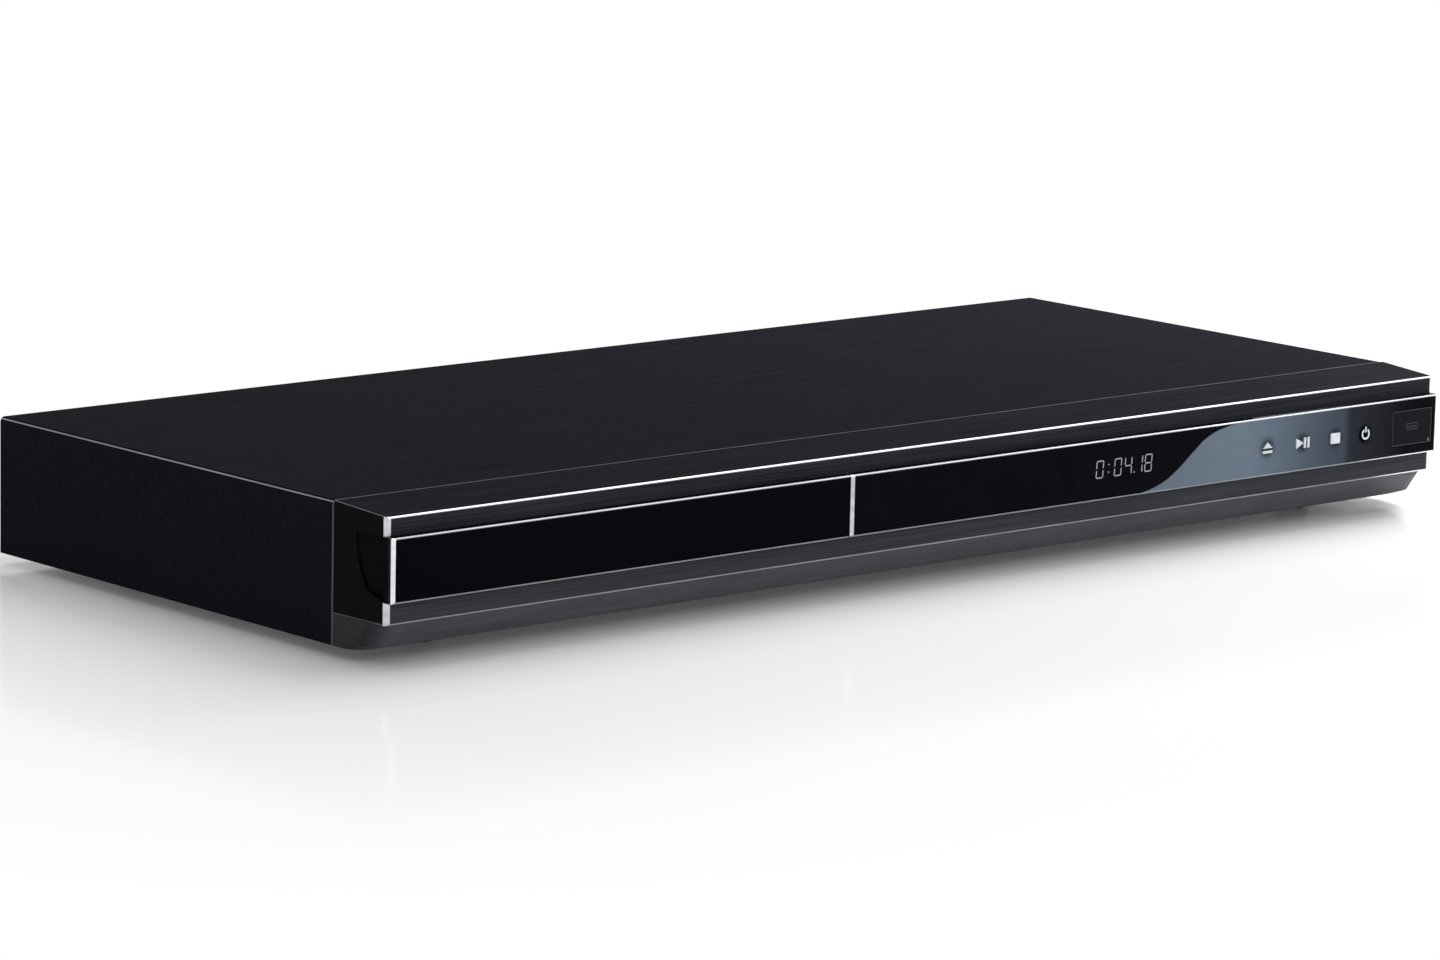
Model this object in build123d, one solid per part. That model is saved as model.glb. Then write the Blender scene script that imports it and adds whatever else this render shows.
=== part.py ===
from build123d import *
import math
import os

# Slim disc player with a tray, in millimetres.
# X runs along the width, the front faces -Y and Z is up. y = 0 is the plane of the
# front bands and z = 0 is the surface that the feet stand on. On writing, every piece
# is moved along Y so that the origin is the centre of the whole footprint.

# Case
case_width = 430.0
case_depth = 187.0  # front band plane to the back of the cover
case_height = 41.5  # chassis floor to the top of the cover
foot_height = 3.5
sheet = 0.8  # steel sheet of the cover, chassis and rear panel
seam = 0.3  # gap between neighbouring shells
cover_bend = 1.5
rear_flange_height = 8.0
chassis_flange_height = 12.0
chassis_lip_height = 2.5
chassis_rib_height = 1.2
chassis_rib_width = 7.0
vent_count = 9
vent_pitch = 7.0
vent_width = 3.0
vent_length = 26.0

# Front fascia
fascia_depth = 22.8
fascia_wall = 2.2
fascia_side_wall = 7.0
fascia_drop = 1.5  # fall of its top from the cover to the front edge
fascia_taper = 1.0  # narrowing of each side from the cover to the front
fascia_lip = 4.0
upper_band = 5.5
panel_height = 18.8
lower_band = 6.5
band_edge = 0.5  # chamfer along the bands' long edges
corner_chamfer = 1.0
corner_strip = 0.4
plinth_setback = 1.0
plinth_recede = 5.2
plinth_slant_height = 7.3
plinth_belly = 12.0
plinth_corner = 7.0
scoop_reach = 13.0
scoop_depth = 3.0
scoop_step = 0.6

# Gloss panel across the front: the tray bezel and the display window
panel_proud = 2.7
panel_recess = 1.0
panel_side_gap = 0.7
panel_chamfer = 1.0
panel_edge = 0.5
panel_running_gap = 0.3
divider_gap = 7.4  # loader frame to the middle of the divider
divider_width = 1.6

# Push buttons and the flap over the USB socket, all on the display window
button_offsets = {"eject": 58.0, "play": 42.0, "stop": 27.0, "power": 13.0}  # to the flap
button_z = 28.3
button_proud = 0.3
button_travel = 0.5
button_gap = 0.2
button_flange_radius = 4.2
button_flange = 1.0
button_face = 1.5  # window thickness in front of a button's flange
plunger_radius = 1.4
icon_height = 3.4
icon_width = 4.2
icon_stroke = 0.8
play_icon_half = 3.0
power_face_radius = 2.5
flap_width = 18.4
flap_inset = 2.9  # flap to the end of the panel
flap_z = (22.6, 34.2)
flap_thickness = 2.0
flap_gap = 0.25
flap_pin_radius = 0.5
flap_pin_length = 1.2
flap_pin_inset = 1.0
pin_clearance = 0.05

# Disc and tray
disc_radius = 60.0
loader_side_gap = 8.0  # case side to the loader frame
loader_rear_gap = 5.4  # loader frame to the rear panel
disc_y = 75.0  # disc centre with the tray in
tray_width = 144.8
tray_front_y = 3.5
tray_rear_gap = 8.0  # tray to the back of the loader frame
tray_base_z = 24.0
tray_height = 7.4
tray_wall = 1.6
tray_flange = 3.2
tray_flange_height = 3.0
tray_slot_width = 44.0
tray_travel = 138.0
well_clearance = 0.6
well_depth = 2.6
small_disc_radius = 40.0
small_well_depth = 1.2
finger_radius = 9.0
slide_gap = 0.3

# Gears, belt and cam
pressure_angle = 20.0
tooth_backlash = 0.2
rack_module = 1.0
rack_pinion_teeth = 20
rack_inset = 5.4  # tray side to the rack's pitch line
rack_drop = 3.2
rack_back = 3.2
gear_module = 0.8
big_gear_teeth = 40
small_gear_teeth = 14
gear_width = 2.7
drive_gear_y = 34.0
gear_line_angle = -30.0  # from the drive gear to the pulley gear
shaft_radius = 1.45
pulley_radius = 9.0
pulley_width = 2.3
motor_pulley_radius = 3.6
pulley_groove = 1.0
belt_width = 1.2
belt_thickness = 0.9
motor_y = 24.5
motor_radius = 7.5
motor_height = 6.4
motor_shaft_radius = 1.0
cam_travel = 16.0
cam_thickness = 1.8
cam_pin_radius = 1.2
cam_pin_gap = 0.15
cam_pin_offsets = (-22.0, 16.0)

# Loader frame and clamper bridge
loader_inner_gap = 0.4
loader_wall = 3.0
loader_front_y = 8.0
loader_top_z = 36.5
deck_z = 13.0
deck_thickness = 1.6
deck_front_depth = 24.8
deck_window_gap = 7.5  # traverse to the edge of the deck
hinge_seat = 6.0  # edge of the deck to the hinge line
finger_length = (38.0, 50.0)  # guides over the tray's flange, front and rear pair
skirt_depth = 3.0  # the frame's walls below its deck
leg_radius = 4.0
leg_front_y = 31.0
leg_rear_gap = 6.0  # leg to the back of the loader frame
ledge_width = 3.4
ledge_thickness = 1.8
bridge_thickness = 1.0
bridge_depth = 34.0
bridge_hole_radius = 9.0
bridge_screw_radius = 0.9
bridge_rib_height = 2.2
clamper_gap = 0.4

# Traverse with the spindle and the pickup
traverse_z = 19.8
traverse_thickness = 1.2
traverse_half_width = 37.5
traverse_front_y = 38.0
hinge_gap = 12.0  # pickup at the end of its travel to the hinge
hinge_radius = 2.0
traverse_drop = 4.0  # at the spindle
spindle_motor_radius = 11.0
spindle_motor_height = 6.8
turntable_radius = 14.5
turntable_thickness = 2.8
turntable_pad = 0.6
cone_radius = 7.3
cone_height = 1.4
disc_lift = 1.2  # disc above the tray's well when it is clamped
rod_radius = 1.5
rod_z = 16.0
rod_offsets = (-22.0, 21.5)
pickup_y = 88.0
pickup_length = 26.0
pickup_travel = 34.0
screw_radius = 1.5
screw_pitch = 3.0
screw_offset = 31.0
screw_z = 15.5
sled_motor_radius = 4.0
sled_motor_length = 14.0

# Boards and sockets
board = 1.6
board_z = 10.5
board_gap = 10.0  # between the main board and the power board
main_board_gap = 9.0  # to the loader frame
main_board_depth = 89.0
main_board_rear_gap = 4.4
power_board_width = 80.0
power_board_depth = 136.0
power_board_gap = 7.0  # to the case side
power_board_rear_gap = 5.4
front_board_y = 12.0
front_board_z = (18.5, 38.5)
front_board_reach = 14.0  # past the display
front_board_gap = 3.0  # to the flap
board_boss_x = 73.0  # flap to the middle bosses
board_boss_radius = 2.6
display_width = 44.0
display_gap = 99.0  # display to the flap
display_z = (22.5, 36.0)
display_glass = 4.5
display_border = 2.0
receiver_gap = 8.0
receiver_size = 6.4
receiver_dome = 2.2
switch_size = 6.0
switch_height = 2.2
switch_knob_radius = 1.7
socket_gap = 0.3
socket_reach = 0.6  # sockets stand out of the rear panel
usb_offset = 9.2  # hinge side of the flap to the socket's centre
usb_z = 28.2
usb_width = 13.2
usb_height = 5.8
usb_depth = 14.0
usb_board_side = 9.0
rca_offset = 16.0  # main board's left edge to the first jack
rca_pitch = 13.0
rca_count = 3
rca_z = 18.2
rca_radius = 4.15
rca_reach = 9.0
rca_root_radius = 3.95
rca_wall = 0.6
rca_bore_radius = 1.6
rca_housing_side = 7.0
rca_housing_depth = 12.0
optical_step = 16.0  # last jack to the optical socket
optical_width = 10.0
optical_height = 10.0
optical_depth = 15.5
optical_port = 6.4
optical_wall = 1.8
shutter_inset = 3.5  # hinge of the shutter behind the rear panel's face
shutter_leaf = 0.8
lan_step = 18.0  # optical socket to the network socket
lan_width = 16.0
lan_height = 13.5
lan_depth = 16.0
lan_port = 11.8
lan_port_height = 7.4
lan_latch = 6.0
hdmi_step = 21.0  # network socket to the HDMI socket
hdmi_width = 15.0
hdmi_height = 5.9
hdmi_depth = 12.0
hdmi_shell = 0.5
inlet_offset = 28.0  # mains inlet's centre to the case side
inlet_z = 20.5
inlet_width = 21.0
inlet_height = 14.0
inlet_depth = 20.0
inlet_recess = 13.0
inlet_lobe_width = 17.0
inlet_lobe_height = 8.2
inlet_pin_spacing = 8.6
inlet_pin_radius = 1.2
inlet_pin_inset = 3.0

# Parts on the boards, each with its place from the board's left or rear edge
processor_x = 60.0
processor_size = 24.0
processor_height = 2.2
processor_rear = 39.0
heatsink_rim = 3.0
heatsink_base = 2.0
heatsink_fins = 8
fin_height = 11.0
fin_thickness = 1.3
memory_x = 92.0
memory_size = (12.0, 16.0)
memory_height = 1.2
memory_rears = (53.0, 31.0)
driver_x = 40.0
driver_size = 14.0
driver_height = 1.6
driver_rear = 47.0
ribbon_width = 20.0
ribbon_thickness = 0.4
ribbon_rear = 33.0
ribbon_height = 4.0
ribbon_low_z = 6.6
ribbon_reach = 4.0
ribbon_under_loader = 25.0
ribbon_plug = 5.0
core_size = (28.0, 24.0)
core_height = 16.0
bobbin_size = (22.0, 36.0)
bobbin_height = 14.0
transformer_x = 14.0
transformer_rear = 58.0
main_capacitor = (9.0, 25.0)  # radius and height
main_capacitor_x = 64.0
main_capacitor_rear = 76.0
small_capacitor = (4.5, 14.0)
small_capacitor_x = 12.0
small_capacitor_pitch = 12.0
small_capacitor_rear = 116.0
coil_size = 16.0
coil_height = 15.0
coil_x = 42.0
coil_rear = 28.0
fuse_radius = 2.6
fuse_length = 20.0
fuse_x = 72.0
fuse_rear = 32.0
cooling_fin = (3.0, 36.0)
cooling_fin_height = 22.0
cooling_fin_x = 6.0
cooling_fin_rear = 56.0

# Feet and fasteners
foot_side = 35.0  # foot's centre to the case side
foot_front_y = 28.4
foot_rear_gap = 22.0
foot_radius = 5.0
foot_hole_radius = 1.8
foot_hole = 1.2
foot_edge = 0.8
head_radius = 2.8
head_height = 1.6
shank_radius = 1.3
standoff_radius = 3.0
cover_screw_side = 30.0
cover_screw_length = 5.0

# Heights and places that follow from the sizes above
half_width = case_width / 2
past = 1.0  # how far a cutter reaches past a face
base_z = foot_height
floor_z = base_z + sheet
top_z = base_z + case_height
front_top_z = top_z - fascia_drop
panel_top_z = front_top_z - upper_band
panel_base_z = panel_top_z - panel_height
plinth_top_z = panel_base_z - lower_band
front_half = half_width - fascia_taper
panel_half = half_width - panel_side_gap
rear_y = case_depth - sheet  # outer face of the rear panel
rear_inner_y = rear_y - sheet
cover_front_y = fascia_depth + seam
shell_half = half_width - sheet - seam  # outer half width of chassis and rear panel
board_top_z = board_z + board
deck_top_z = deck_z + deck_thickness
tray_top_z = tray_base_z + tray_height
well_z = tray_top_z - well_depth
disc_plane_z = well_z + disc_lift
tray_flange_half = tray_width / 2 + tray_flange
loader_inner_half = tray_flange_half + loader_inner_gap
loader_half = loader_inner_half + loader_wall
loader_back_y = rear_inner_y - loader_rear_gap
tray_back_y = loader_back_y - tray_rear_gap
tray_x = loader_side_gap + loader_half - half_width  # centre of the loader
rack_offset = tray_width / 2 - rack_inset  # tray centre to the rack's pitch line
pinion_pitch_radius = rack_module * rack_pinion_teeth / 2
drive_gear_x = tray_x - rack_offset + pinion_pitch_radius
gear_distance = gear_module * (big_gear_teeth + small_gear_teeth) / 2
pulley_gear_x = drive_gear_x + gear_distance * math.cos(math.radians(gear_line_angle))
pulley_gear_y = drive_gear_y + gear_distance * math.sin(math.radians(gear_line_angle))
motor_x = tray_x
pulley_z = deck_top_z + slide_gap
big_gear_z = pulley_z + pulley_width + slide_gap
rack_z = tray_base_z - rack_drop
pinion_top_z = tray_base_z - 0.4
deck_edge_y = loader_front_y + deck_front_depth
hinge_y = pickup_y + pickup_length + pickup_travel + hinge_gap
cam_y = deck_edge_y + slide_gap
hinge_z = traverse_z + traverse_thickness / 2
drop_angle = math.asin(traverse_drop / (hinge_y - disc_y))
cam_pin_z = traverse_z - 4.8
cam_pin_y = cam_y + cam_thickness / 2
cam_drop = (hinge_y - cam_pin_y) * math.sin(drop_angle)
cam_z = (base_z + 2.6, big_gear_z - 0.5)
turntable_top_z = disc_plane_z - turntable_pad
cone_top_z = turntable_top_z + turntable_pad + cone_height
clamper_z = cone_top_z + clamper_gap
divider_x = tray_x + loader_half + divider_gap
flap_x = (panel_half - flap_inset - flap_width, panel_half - flap_inset)
button_x = {kind: flap_x[0] - offset for kind, offset in button_offsets.items()}
display_x = (flap_x[0] - display_gap - display_width, flap_x[0] - display_gap)
usb_x = flap_x[0] + usb_offset
power_board_x = (half_width - power_board_gap - power_board_width, half_width - power_board_gap)
power_board_back_y = rear_inner_y - power_board_rear_gap
power_board_y = (power_board_back_y - power_board_depth, power_board_back_y)
main_board_x = (tray_x + loader_half + main_board_gap, power_board_x[0] - board_gap)
main_board_back_y = rear_inner_y - main_board_rear_gap
main_board_y = (main_board_back_y - main_board_depth, main_board_back_y)
front_board_x = (display_x[0] - front_board_reach, flap_x[0] - front_board_gap)
rca_x = [main_board_x[0] + rca_offset + rca_pitch * i for i in range(rca_count)]
optical_x = rca_x[-1] + optical_step
lan_x = optical_x + lan_step
hdmi_x = lan_x + hdmi_step
inlet_x = half_width - inlet_offset
foot_x = half_width - foot_side
foot_y = (foot_front_y, case_depth - foot_rear_gap)
window_wall_y = panel_recess + fascia_wall
window_x = (divider_x + divider_width / 2, panel_half)
bezel_x = (-panel_half, divider_x - divider_width / 2 - panel_running_gap)
bezel_back_y = panel_recess - panel_running_gap
button_flange_y = -panel_proud + button_face + slide_gap
switch_y = front_board_y - switch_height - 1.4
hinge_pin_x = flap_x[0] + flap_pin_inset
hinge_pin_y = -panel_proud + flap_pin_inset
middle_z = (panel_base_z - fascia_wall, panel_top_z + fascia_wall)
slot_half = loader_inner_half + 0.2
slot_z = (rack_z - 0.6, tray_top_z + 0.8)
socket_y = rear_y + socket_reach
front_reach = panel_proud + button_proud
rear_reach = rear_y + rca_reach
origin_y = (rear_reach - front_reach) / 2

bottom = (Align.CENTER, Align.CENTER, Align.MIN)


def block(x, y, z):
    centre = [(span[0] + span[1]) / 2 for span in (x, y, z)]
    return Pos(*centre) * Box(x[1] - x[0], y[1] - y[0], z[1] - z[0])


def around(centre, half):
    return (centre - half, centre + half)


# Cylinders along each axis, named for the axis that they follow
def rod_x(x, y, z, radius):
    return Plane.YZ.offset(x[0]) * Pos(y, z) * Cylinder(radius, x[1] - x[0], align=bottom)


def rod_y(x, y, z, radius):
    start = Plane((x, y[0], z), x_dir=(1, 0, 0), z_dir=(0, 1, 0))
    return start * Cylinder(radius, y[1] - y[0], align=bottom)


def post(x, y, z, radius):
    return Pos(x, y, z[0]) * Cylinder(radius, z[1] - z[0], align=bottom)


def prism(points, z):
    return Pos(0, 0, z[0]) * extrude(make_face(Polyline(*points, close=True)), z[1] - z[0])


def side_prism(points, x):
    face = make_face(Polyline(*points, close=True))
    return extrude(Plane.YZ.offset(x[0]) * face, x[1] - x[0])


def front_prism(face, y):
    start = Plane((0, y[0], 0), x_dir=(1, 0, 0), z_dir=(0, -1, 0))
    return extrude(start * face, -(y[1] - y[0]))


def cut(body, tools):
    for tool in tools:
        body = body - tool
    return body


def join(pieces):
    body = pieces[0]
    for piece in pieces[1:]:
        body = body + piece
    return body


def write(name, pieces):
    solids = []
    for piece in pieces if isinstance(pieces, list) else [pieces]:
        solids += piece.solids()
    moved = [solid.moved(Location((0, -origin_y, 0))) for solid in solids]
    export_step(moved[0] if len(moved) == 1 else Compound(children=moved), f"parts/{name}.step")


# Outer form of the two bands, and with a wall it is the hollow inside them
def band_form(wall):
    back = fascia_depth + (past if wall else 0.0)
    slope = fascia_drop / fascia_depth
    low = plinth_top_z
    back_top = top_z - wall + slope * (back - fascia_depth)
    if wall:
        front = [(wall, low), (wall, front_top_z + slope * wall - wall)]
    else:
        front = [(band_edge, low), (0, low + band_edge), (0, front_top_z - band_edge)]
        front += [(band_edge, front_top_z + slope * band_edge)]
    profile = front + [(back, back_top), (back, low)]
    wide = half_width - wall
    narrow = front_half - wall
    plan = [(-wide, back), (-narrow, wall), (narrow, wall), (wide, back)]
    return side_prism(profile, (-half_width, half_width)) & prism(plan, (low, top_z))


# Plan of the plinth at one height: square at the back, rounded at the front corners
def plinth_plan(front_y, inset, z):
    back = fascia_depth + (past if inset else 0.0)
    depth = back - front_y - inset
    outline = Pos(0, back - depth / 2) * Rectangle(2 * (half_width - inset), depth)
    corners = outline.vertices().group_by(Axis.Y)[0]
    return Pos(0, 0, z) * fillet(corners, plinth_corner - inset / 2)


def plinth_form(wall):
    slant_z = plinth_top_z - plinth_slant_height
    top = plinth_plan(plinth_setback, wall, plinth_top_z)
    middle = plinth_plan(plinth_setback + plinth_recede, wall, slant_z + wall)
    low = plinth_plan(plinth_belly, wall, base_z + wall)
    return loft([top, middle], ruled=True) + loft([middle, low], ruled=True)


# Triangular prism that takes off a vertical front corner, cut by size along both faces
def corner_wedge(side, half, front_y, size, z):
    points = [(side * (half - size), front_y - past), (side * (half - size), front_y)]
    points += [(side * half, front_y + size), (side * (half + 3), front_y + size)]
    points += [(side * (half + 3), front_y - past)]
    return prism(points, z)


def side_scoop(side):
    front = panel_recess - 0.01
    start = (scoop_reach, panel_top_z)
    turn = (scoop_reach - 4.5, panel_base_z + 2.6)
    arc = ThreePointArc(start, (scoop_reach - 1.3, panel_base_z + 9.5), turn)
    lines = [Line((front, panel_top_z), start), arc, Line(turn, (front, panel_base_z))]
    lines += [Line((front, panel_base_z), (front, panel_top_z))]
    form = extrude(Plane.YZ.offset(-half_width - past) * make_face(lines), case_width + 2 * past)
    outside = side * (half_width + past)
    back = scoop_reach + past
    plan = [(side * (half_width - scoop_depth), front), (side * (half_width - scoop_step), back)]
    plan += [(outside, back), (outside, front)]
    return form & prism(plan, (panel_base_z - past, panel_top_z + past))


# Symbols on the push buttons, drawn about their own centre
def icon(kind, grow):
    half = icon_height / 2
    wide = icon_width / 2
    if kind == "eject":
        base = 2 * icon_stroke - half
        arrow = make_face(Polyline((-wide, base), (wide, base), (0, half), close=True))
        shapes = [arrow, Pos(0, icon_stroke / 2 - half) * Rectangle(icon_width, icon_stroke)]
    elif kind == "play":
        left = -play_icon_half
        bars = (play_icon_half - 2.5 * icon_stroke, play_icon_half - 0.5 * icon_stroke)
        arrow = make_face(Polyline((left, -half), (left, half), (bars[0] - icon_stroke, 0), close=True))
        shapes = [arrow] + [Pos(x, 0) * Rectangle(icon_stroke, icon_height) for x in bars]
    elif kind == "stop":
        shapes = [Rectangle(icon_width, icon_height)]
    else:
        shapes = [Circle(power_face_radius)]
    grown = [offset(shape, grow, kind=Kind.INTERSECTION) if grow else shape for shape in shapes]
    return [Pos(button_x[kind], button_z) * shape for shape in grown]


def front_fascia():
    outer = band_form(0) + plinth_form(0)
    hollow = band_form(fascia_wall) + plinth_form(fascia_wall)
    hollow = hollow - block((-half_width, half_width), (0, window_wall_y), middle_z)
    for side in (-1, 1):
        wall_x = sorted((side * (half_width - fascia_side_wall), side * half_width))
        hollow = hollow - block(wall_x, (0, fascia_depth + 2 * past), middle_z)
    body = outer - hollow
    body = body - block((-half_width, half_width), (-past, panel_recess), (panel_base_z, panel_top_z))
    body = cut(body, [side_scoop(-1), side_scoop(1)])
    size = corner_chamfer + corner_strip
    body = cut(body, [corner_wedge(side, front_half, 0, size, (plinth_top_z, top_z)) for side in (-1, 1)])
    # Openings for the tray, the display, the buttons and the USB socket
    wall_y = (0, window_wall_y + past / 2)
    body = body - block(around(tray_x, slot_half), wall_y, slot_z)
    body = body - block(display_x, wall_y, display_z)
    for x in button_x.values():
        body = body - rod_y(x, wall_y, button_z, plunger_radius + socket_gap)
    usb_hole_x = around(usb_x, usb_width / 2 + socket_gap)
    usb_hole_z = around(usb_z, usb_height / 2 + socket_gap)
    body = body - block(usb_hole_x, (0, fascia_depth + past), usb_hole_z)
    body = body - block(usb_hole_x, (window_wall_y, fascia_depth + past), (usb_z - 8, usb_hole_z[1]))
    # Bosses for the front board and a shelf for the USB board
    for x, z in board_boss_places():
        boss = rod_y(x, (window_wall_y, front_board_y), z, board_boss_radius)
        body = body + boss - rod_y(x, (window_wall_y + past, front_board_y + past), z, shank_radius)
    shelf_top = usb_board_z()[0]
    shelf_x = (usb_x - usb_board_side, usb_x + usb_board_side - 4)
    body = body + block(shelf_x, (window_wall_y - 0.1, fascia_depth - 2), (shelf_top - 1.5, shelf_top))
    # Lip that carries the cover's front edge
    lip_z = top_z - sheet
    lip_x = around(0, half_width - fascia_side_wall - past)
    return body + block(lip_x, (fascia_depth - 3, fascia_depth + fascia_lip), (lip_z - 1.2, lip_z))


def usb_board_z():
    top = usb_z - usb_height / 2
    return (top - board, top)


def board_boss_places():
    low, high = front_board_z[0] + 3, front_board_z[1] - 3
    left, right = front_board_x[0] + 4, front_board_x[1] - 3.5
    middle = flap_x[0] - board_boss_x
    return [(left, low), (left, high), (middle, low), (middle, high), (right, low)]


def corner_trims():
    strips = []
    outer = band_form(0)
    for side in (-1, 1):
        for z in ((plinth_top_z, panel_base_z), (panel_top_z, top_z)):
            whole = corner_wedge(side, front_half, 0, corner_chamfer + corner_strip, z)
            strips.append((outer & whole) - corner_wedge(side, front_half, 0, corner_chamfer, z))
    return strips


# A plate of the gloss panel: chamfered along its long front edges and square at its ends
def gloss_plate(x, back_y):
    plate = block(x, (-panel_proud, back_y), (panel_base_z + 0.05, panel_top_z - 0.05))
    edges = plate.edges().filter_by(Axis.X).group_by(Axis.Y)[0]
    return chamfer(edges, panel_edge)


def panel_end_strip(side, plate):
    z = (panel_base_z, panel_top_z)
    whole = plate & corner_wedge(side, panel_half, -panel_proud, panel_chamfer + corner_strip, z)
    return whole - corner_wedge(side, panel_half, -panel_proud, panel_chamfer, z)


def display_window():
    plate = gloss_plate(window_x, panel_recess)
    z = (panel_base_z, panel_top_z)
    plate = plate - corner_wedge(1, panel_half, -panel_proud, panel_chamfer + corner_strip, z)
    through = (-panel_proud - past, panel_recess + past)
    for kind, x in button_x.items():
        for shape in icon(kind, button_gap):
            plate = plate - front_prism(shape, through)
        pocket = (-panel_proud + button_face, panel_recess + past)
        plate = plate - rod_y(x, pocket, button_z, button_flange_radius + button_gap)
    opening_x = (flap_x[0] - flap_gap, flap_x[1] + flap_gap)
    opening_z = (flap_z[0] - flap_gap, flap_z[1] + flap_gap)
    plate = plate - block(opening_x, through, opening_z)
    pin_z = (flap_z[0] - flap_pin_length - 0.1, flap_z[1] + flap_pin_length + 0.1)
    return plate - post(hinge_pin_x, hinge_pin_y, pin_z, flap_pin_radius + pin_clearance)


def window_end_trim():
    return panel_end_strip(1, gloss_plate(window_x, panel_recess))


def divider_trim():
    return gloss_plate(around(divider_x, divider_width / 2), panel_recess)


def tray_bezel():
    z = (panel_base_z, panel_top_z)
    plate = gloss_plate(bezel_x, bezel_back_y)
    plate = plate - corner_wedge(-1, panel_half, -panel_proud, panel_chamfer + corner_strip, z)
    neck_z = (tray_base_z + 0.6, tray_top_z - 0.6)
    for x in (tray_x - 48, tray_x, tray_x + 48):
        plate = plate + block(around(x, 14), (bezel_back_y - 0.1, tray_front_y), neck_z)
    return plate


def bezel_end_trim():
    return panel_end_strip(-1, gloss_plate(bezel_x, bezel_back_y))


def push_button(kind):
    x = button_x[kind]
    flange = rod_y(x, (button_flange_y, button_flange_y + button_flange), button_z, button_flange_radius)
    reach = switch_y - button_travel - 0.1
    cap = flange + rod_y(x, (button_flange_y, reach), button_z, plunger_radius)
    for shape in icon(kind, 0):
        cap = cap + front_prism(shape, (-panel_proud - button_proud, button_flange_y + 0.1))
    return cap


def usb_flap():
    y = (-panel_proud, -panel_proud + flap_thickness)
    panel = block((hinge_pin_x, flap_x[1]), y, flap_z)
    knuckle = post(hinge_pin_x, hinge_pin_y, flap_z, flap_pin_inset)
    pin_z = (flap_z[0] - flap_pin_length, flap_z[1] + flap_pin_length)
    pin = post(hinge_pin_x, hinge_pin_y, pin_z, flap_pin_radius)
    notch = rod_y(flap_x[1] - 1.4, (y[0] - past, y[0] + 0.6), flap_z[0] + 1.2, 0.7)
    return panel + knuckle + pin - notch


def top_cover():
    wide = (-half_width, half_width)
    outer = block(wide, (cover_front_y, case_depth), (base_z, top_z))
    corners = outer.edges().filter_by(Axis.Y).group_by(Axis.Z)[-1]
    outer = fillet(corners, cover_bend)
    inner_x = (-half_width + sheet, half_width - sheet)
    inner = block(inner_x, (cover_front_y - past, rear_y), (base_z - past, top_z - sheet))
    inner_corners = inner.edges().filter_by(Axis.Y).group_by(Axis.Z)[-1]
    inner = fillet(inner_corners, cover_bend - sheet)
    mouth_z = (base_z - past, top_z - rear_flange_height)
    mouth = block(inner_x, (rear_y - past, case_depth + past), mouth_z)
    cover = outer - inner - mouth
    holes = [rod_y(x, (rear_y - past, case_depth + past), z, shank_radius) for x, z in cover_screw_places()]
    return cut(cover, holes)


def cover_screw_places():
    side = half_width - cover_screw_side
    return [(x, top_z - rear_flange_height / 2) for x in (-side, 0.0, side)]


def vent_row(x0, y0, z):
    starts = [(x0 + i * vent_pitch, y0) for i in range(vent_count)]
    return [block((x, x + vent_width), (y, y + vent_length), z) for x, y in starts]


def standoff_places():
    places = []
    for board_x, board_y in ((main_board_x, main_board_y), (power_board_x, power_board_y)):
        for x in (board_x[0] + 6, board_x[1] - 6):
            places += [(x, board_y[0] + 6), (x, board_y[1] - 16)]
    return places


def loader_screw_places():
    x_offset = loader_inner_half - 5
    leg_y = (leg_front_y, loader_back_y - leg_rear_gap)
    return [(tray_x + side * x_offset, y) for side in (-1, 1) for y in leg_y]


def bottom_chassis():
    y = (cover_front_y, rear_y)
    body = block((-shell_half, shell_half), y, (base_z, floor_z))
    flange_z = (base_z, base_z + chassis_flange_height)
    for side in (-1, 1):
        x = sorted((side * shell_half, side * (shell_half - sheet)))
        body = body + block(x, (y[0], rear_inner_y), flange_z)
    lip_z = (base_z, base_z + chassis_lip_height)
    body = body + block((-shell_half, shell_half), (y[0], y[0] + sheet), lip_z)
    # Ribs pressed up into the floor, hollow from below
    rib_y = (y[0] + 15, y[1] - 12)
    for x in (main_board_x[0] + 25, power_board_x[0] - 6):
        rib_z = (floor_z - 0.1, floor_z + chassis_rib_height)
        body = body + block(around(x, chassis_rib_width / 2), rib_y, rib_z)
        hollow_x = around(x, chassis_rib_width / 2 - sheet)
        hollow_y = (rib_y[0] + sheet, rib_y[1] - sheet)
        body = body - block(hollow_x, hollow_y, (base_z - past, base_z + chassis_rib_height))
    through = (base_z - past, floor_z + past)
    vents = vent_row(power_board_x[0] + 12, power_board_y[0] + 26, through)
    vents += vent_row(main_board_x[0] + 60, main_board_y[0] + 20, through)
    places = standoff_places() + loader_screw_places()
    return cut(body, vents + [post(x, y_at, through, shank_radius) for x, y_at in places])


def rear_panel():
    through = (rear_inner_y - past, rear_y + past)
    body = block((-shell_half, shell_half), (rear_inner_y, rear_y), (floor_z, top_z - sheet - seam))
    gap = socket_gap
    low = board_top_z - gap
    openings = []
    for x, width, height in ((hdmi_x, hdmi_width, hdmi_height), (lan_x, lan_width, lan_height),
                             (optical_x, optical_width, optical_height)):
        openings.append(block(around(x, width / 2 + gap), through, (low, board_top_z + height + gap)))
    openings += [rod_y(x, through, rca_z, rca_root_radius + gap) for x in rca_x]
    inlet_hole_z = around(inlet_z, inlet_height / 2 + gap)
    openings += [block(around(inlet_x, inlet_width / 2 + gap), through, inlet_hole_z)]
    openings += [rod_y(x, through, z, shank_radius) for x, z in cover_screw_places()]
    return cut(body, openings)


def foot(x, y):
    rubber = post(x, y, (0, foot_height), foot_radius)
    rubber = chamfer(rubber.edges().group_by(Axis.Z)[0], foot_edge)
    return rubber - post(x, y, (-past, foot_hole), foot_hole_radius)


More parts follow.
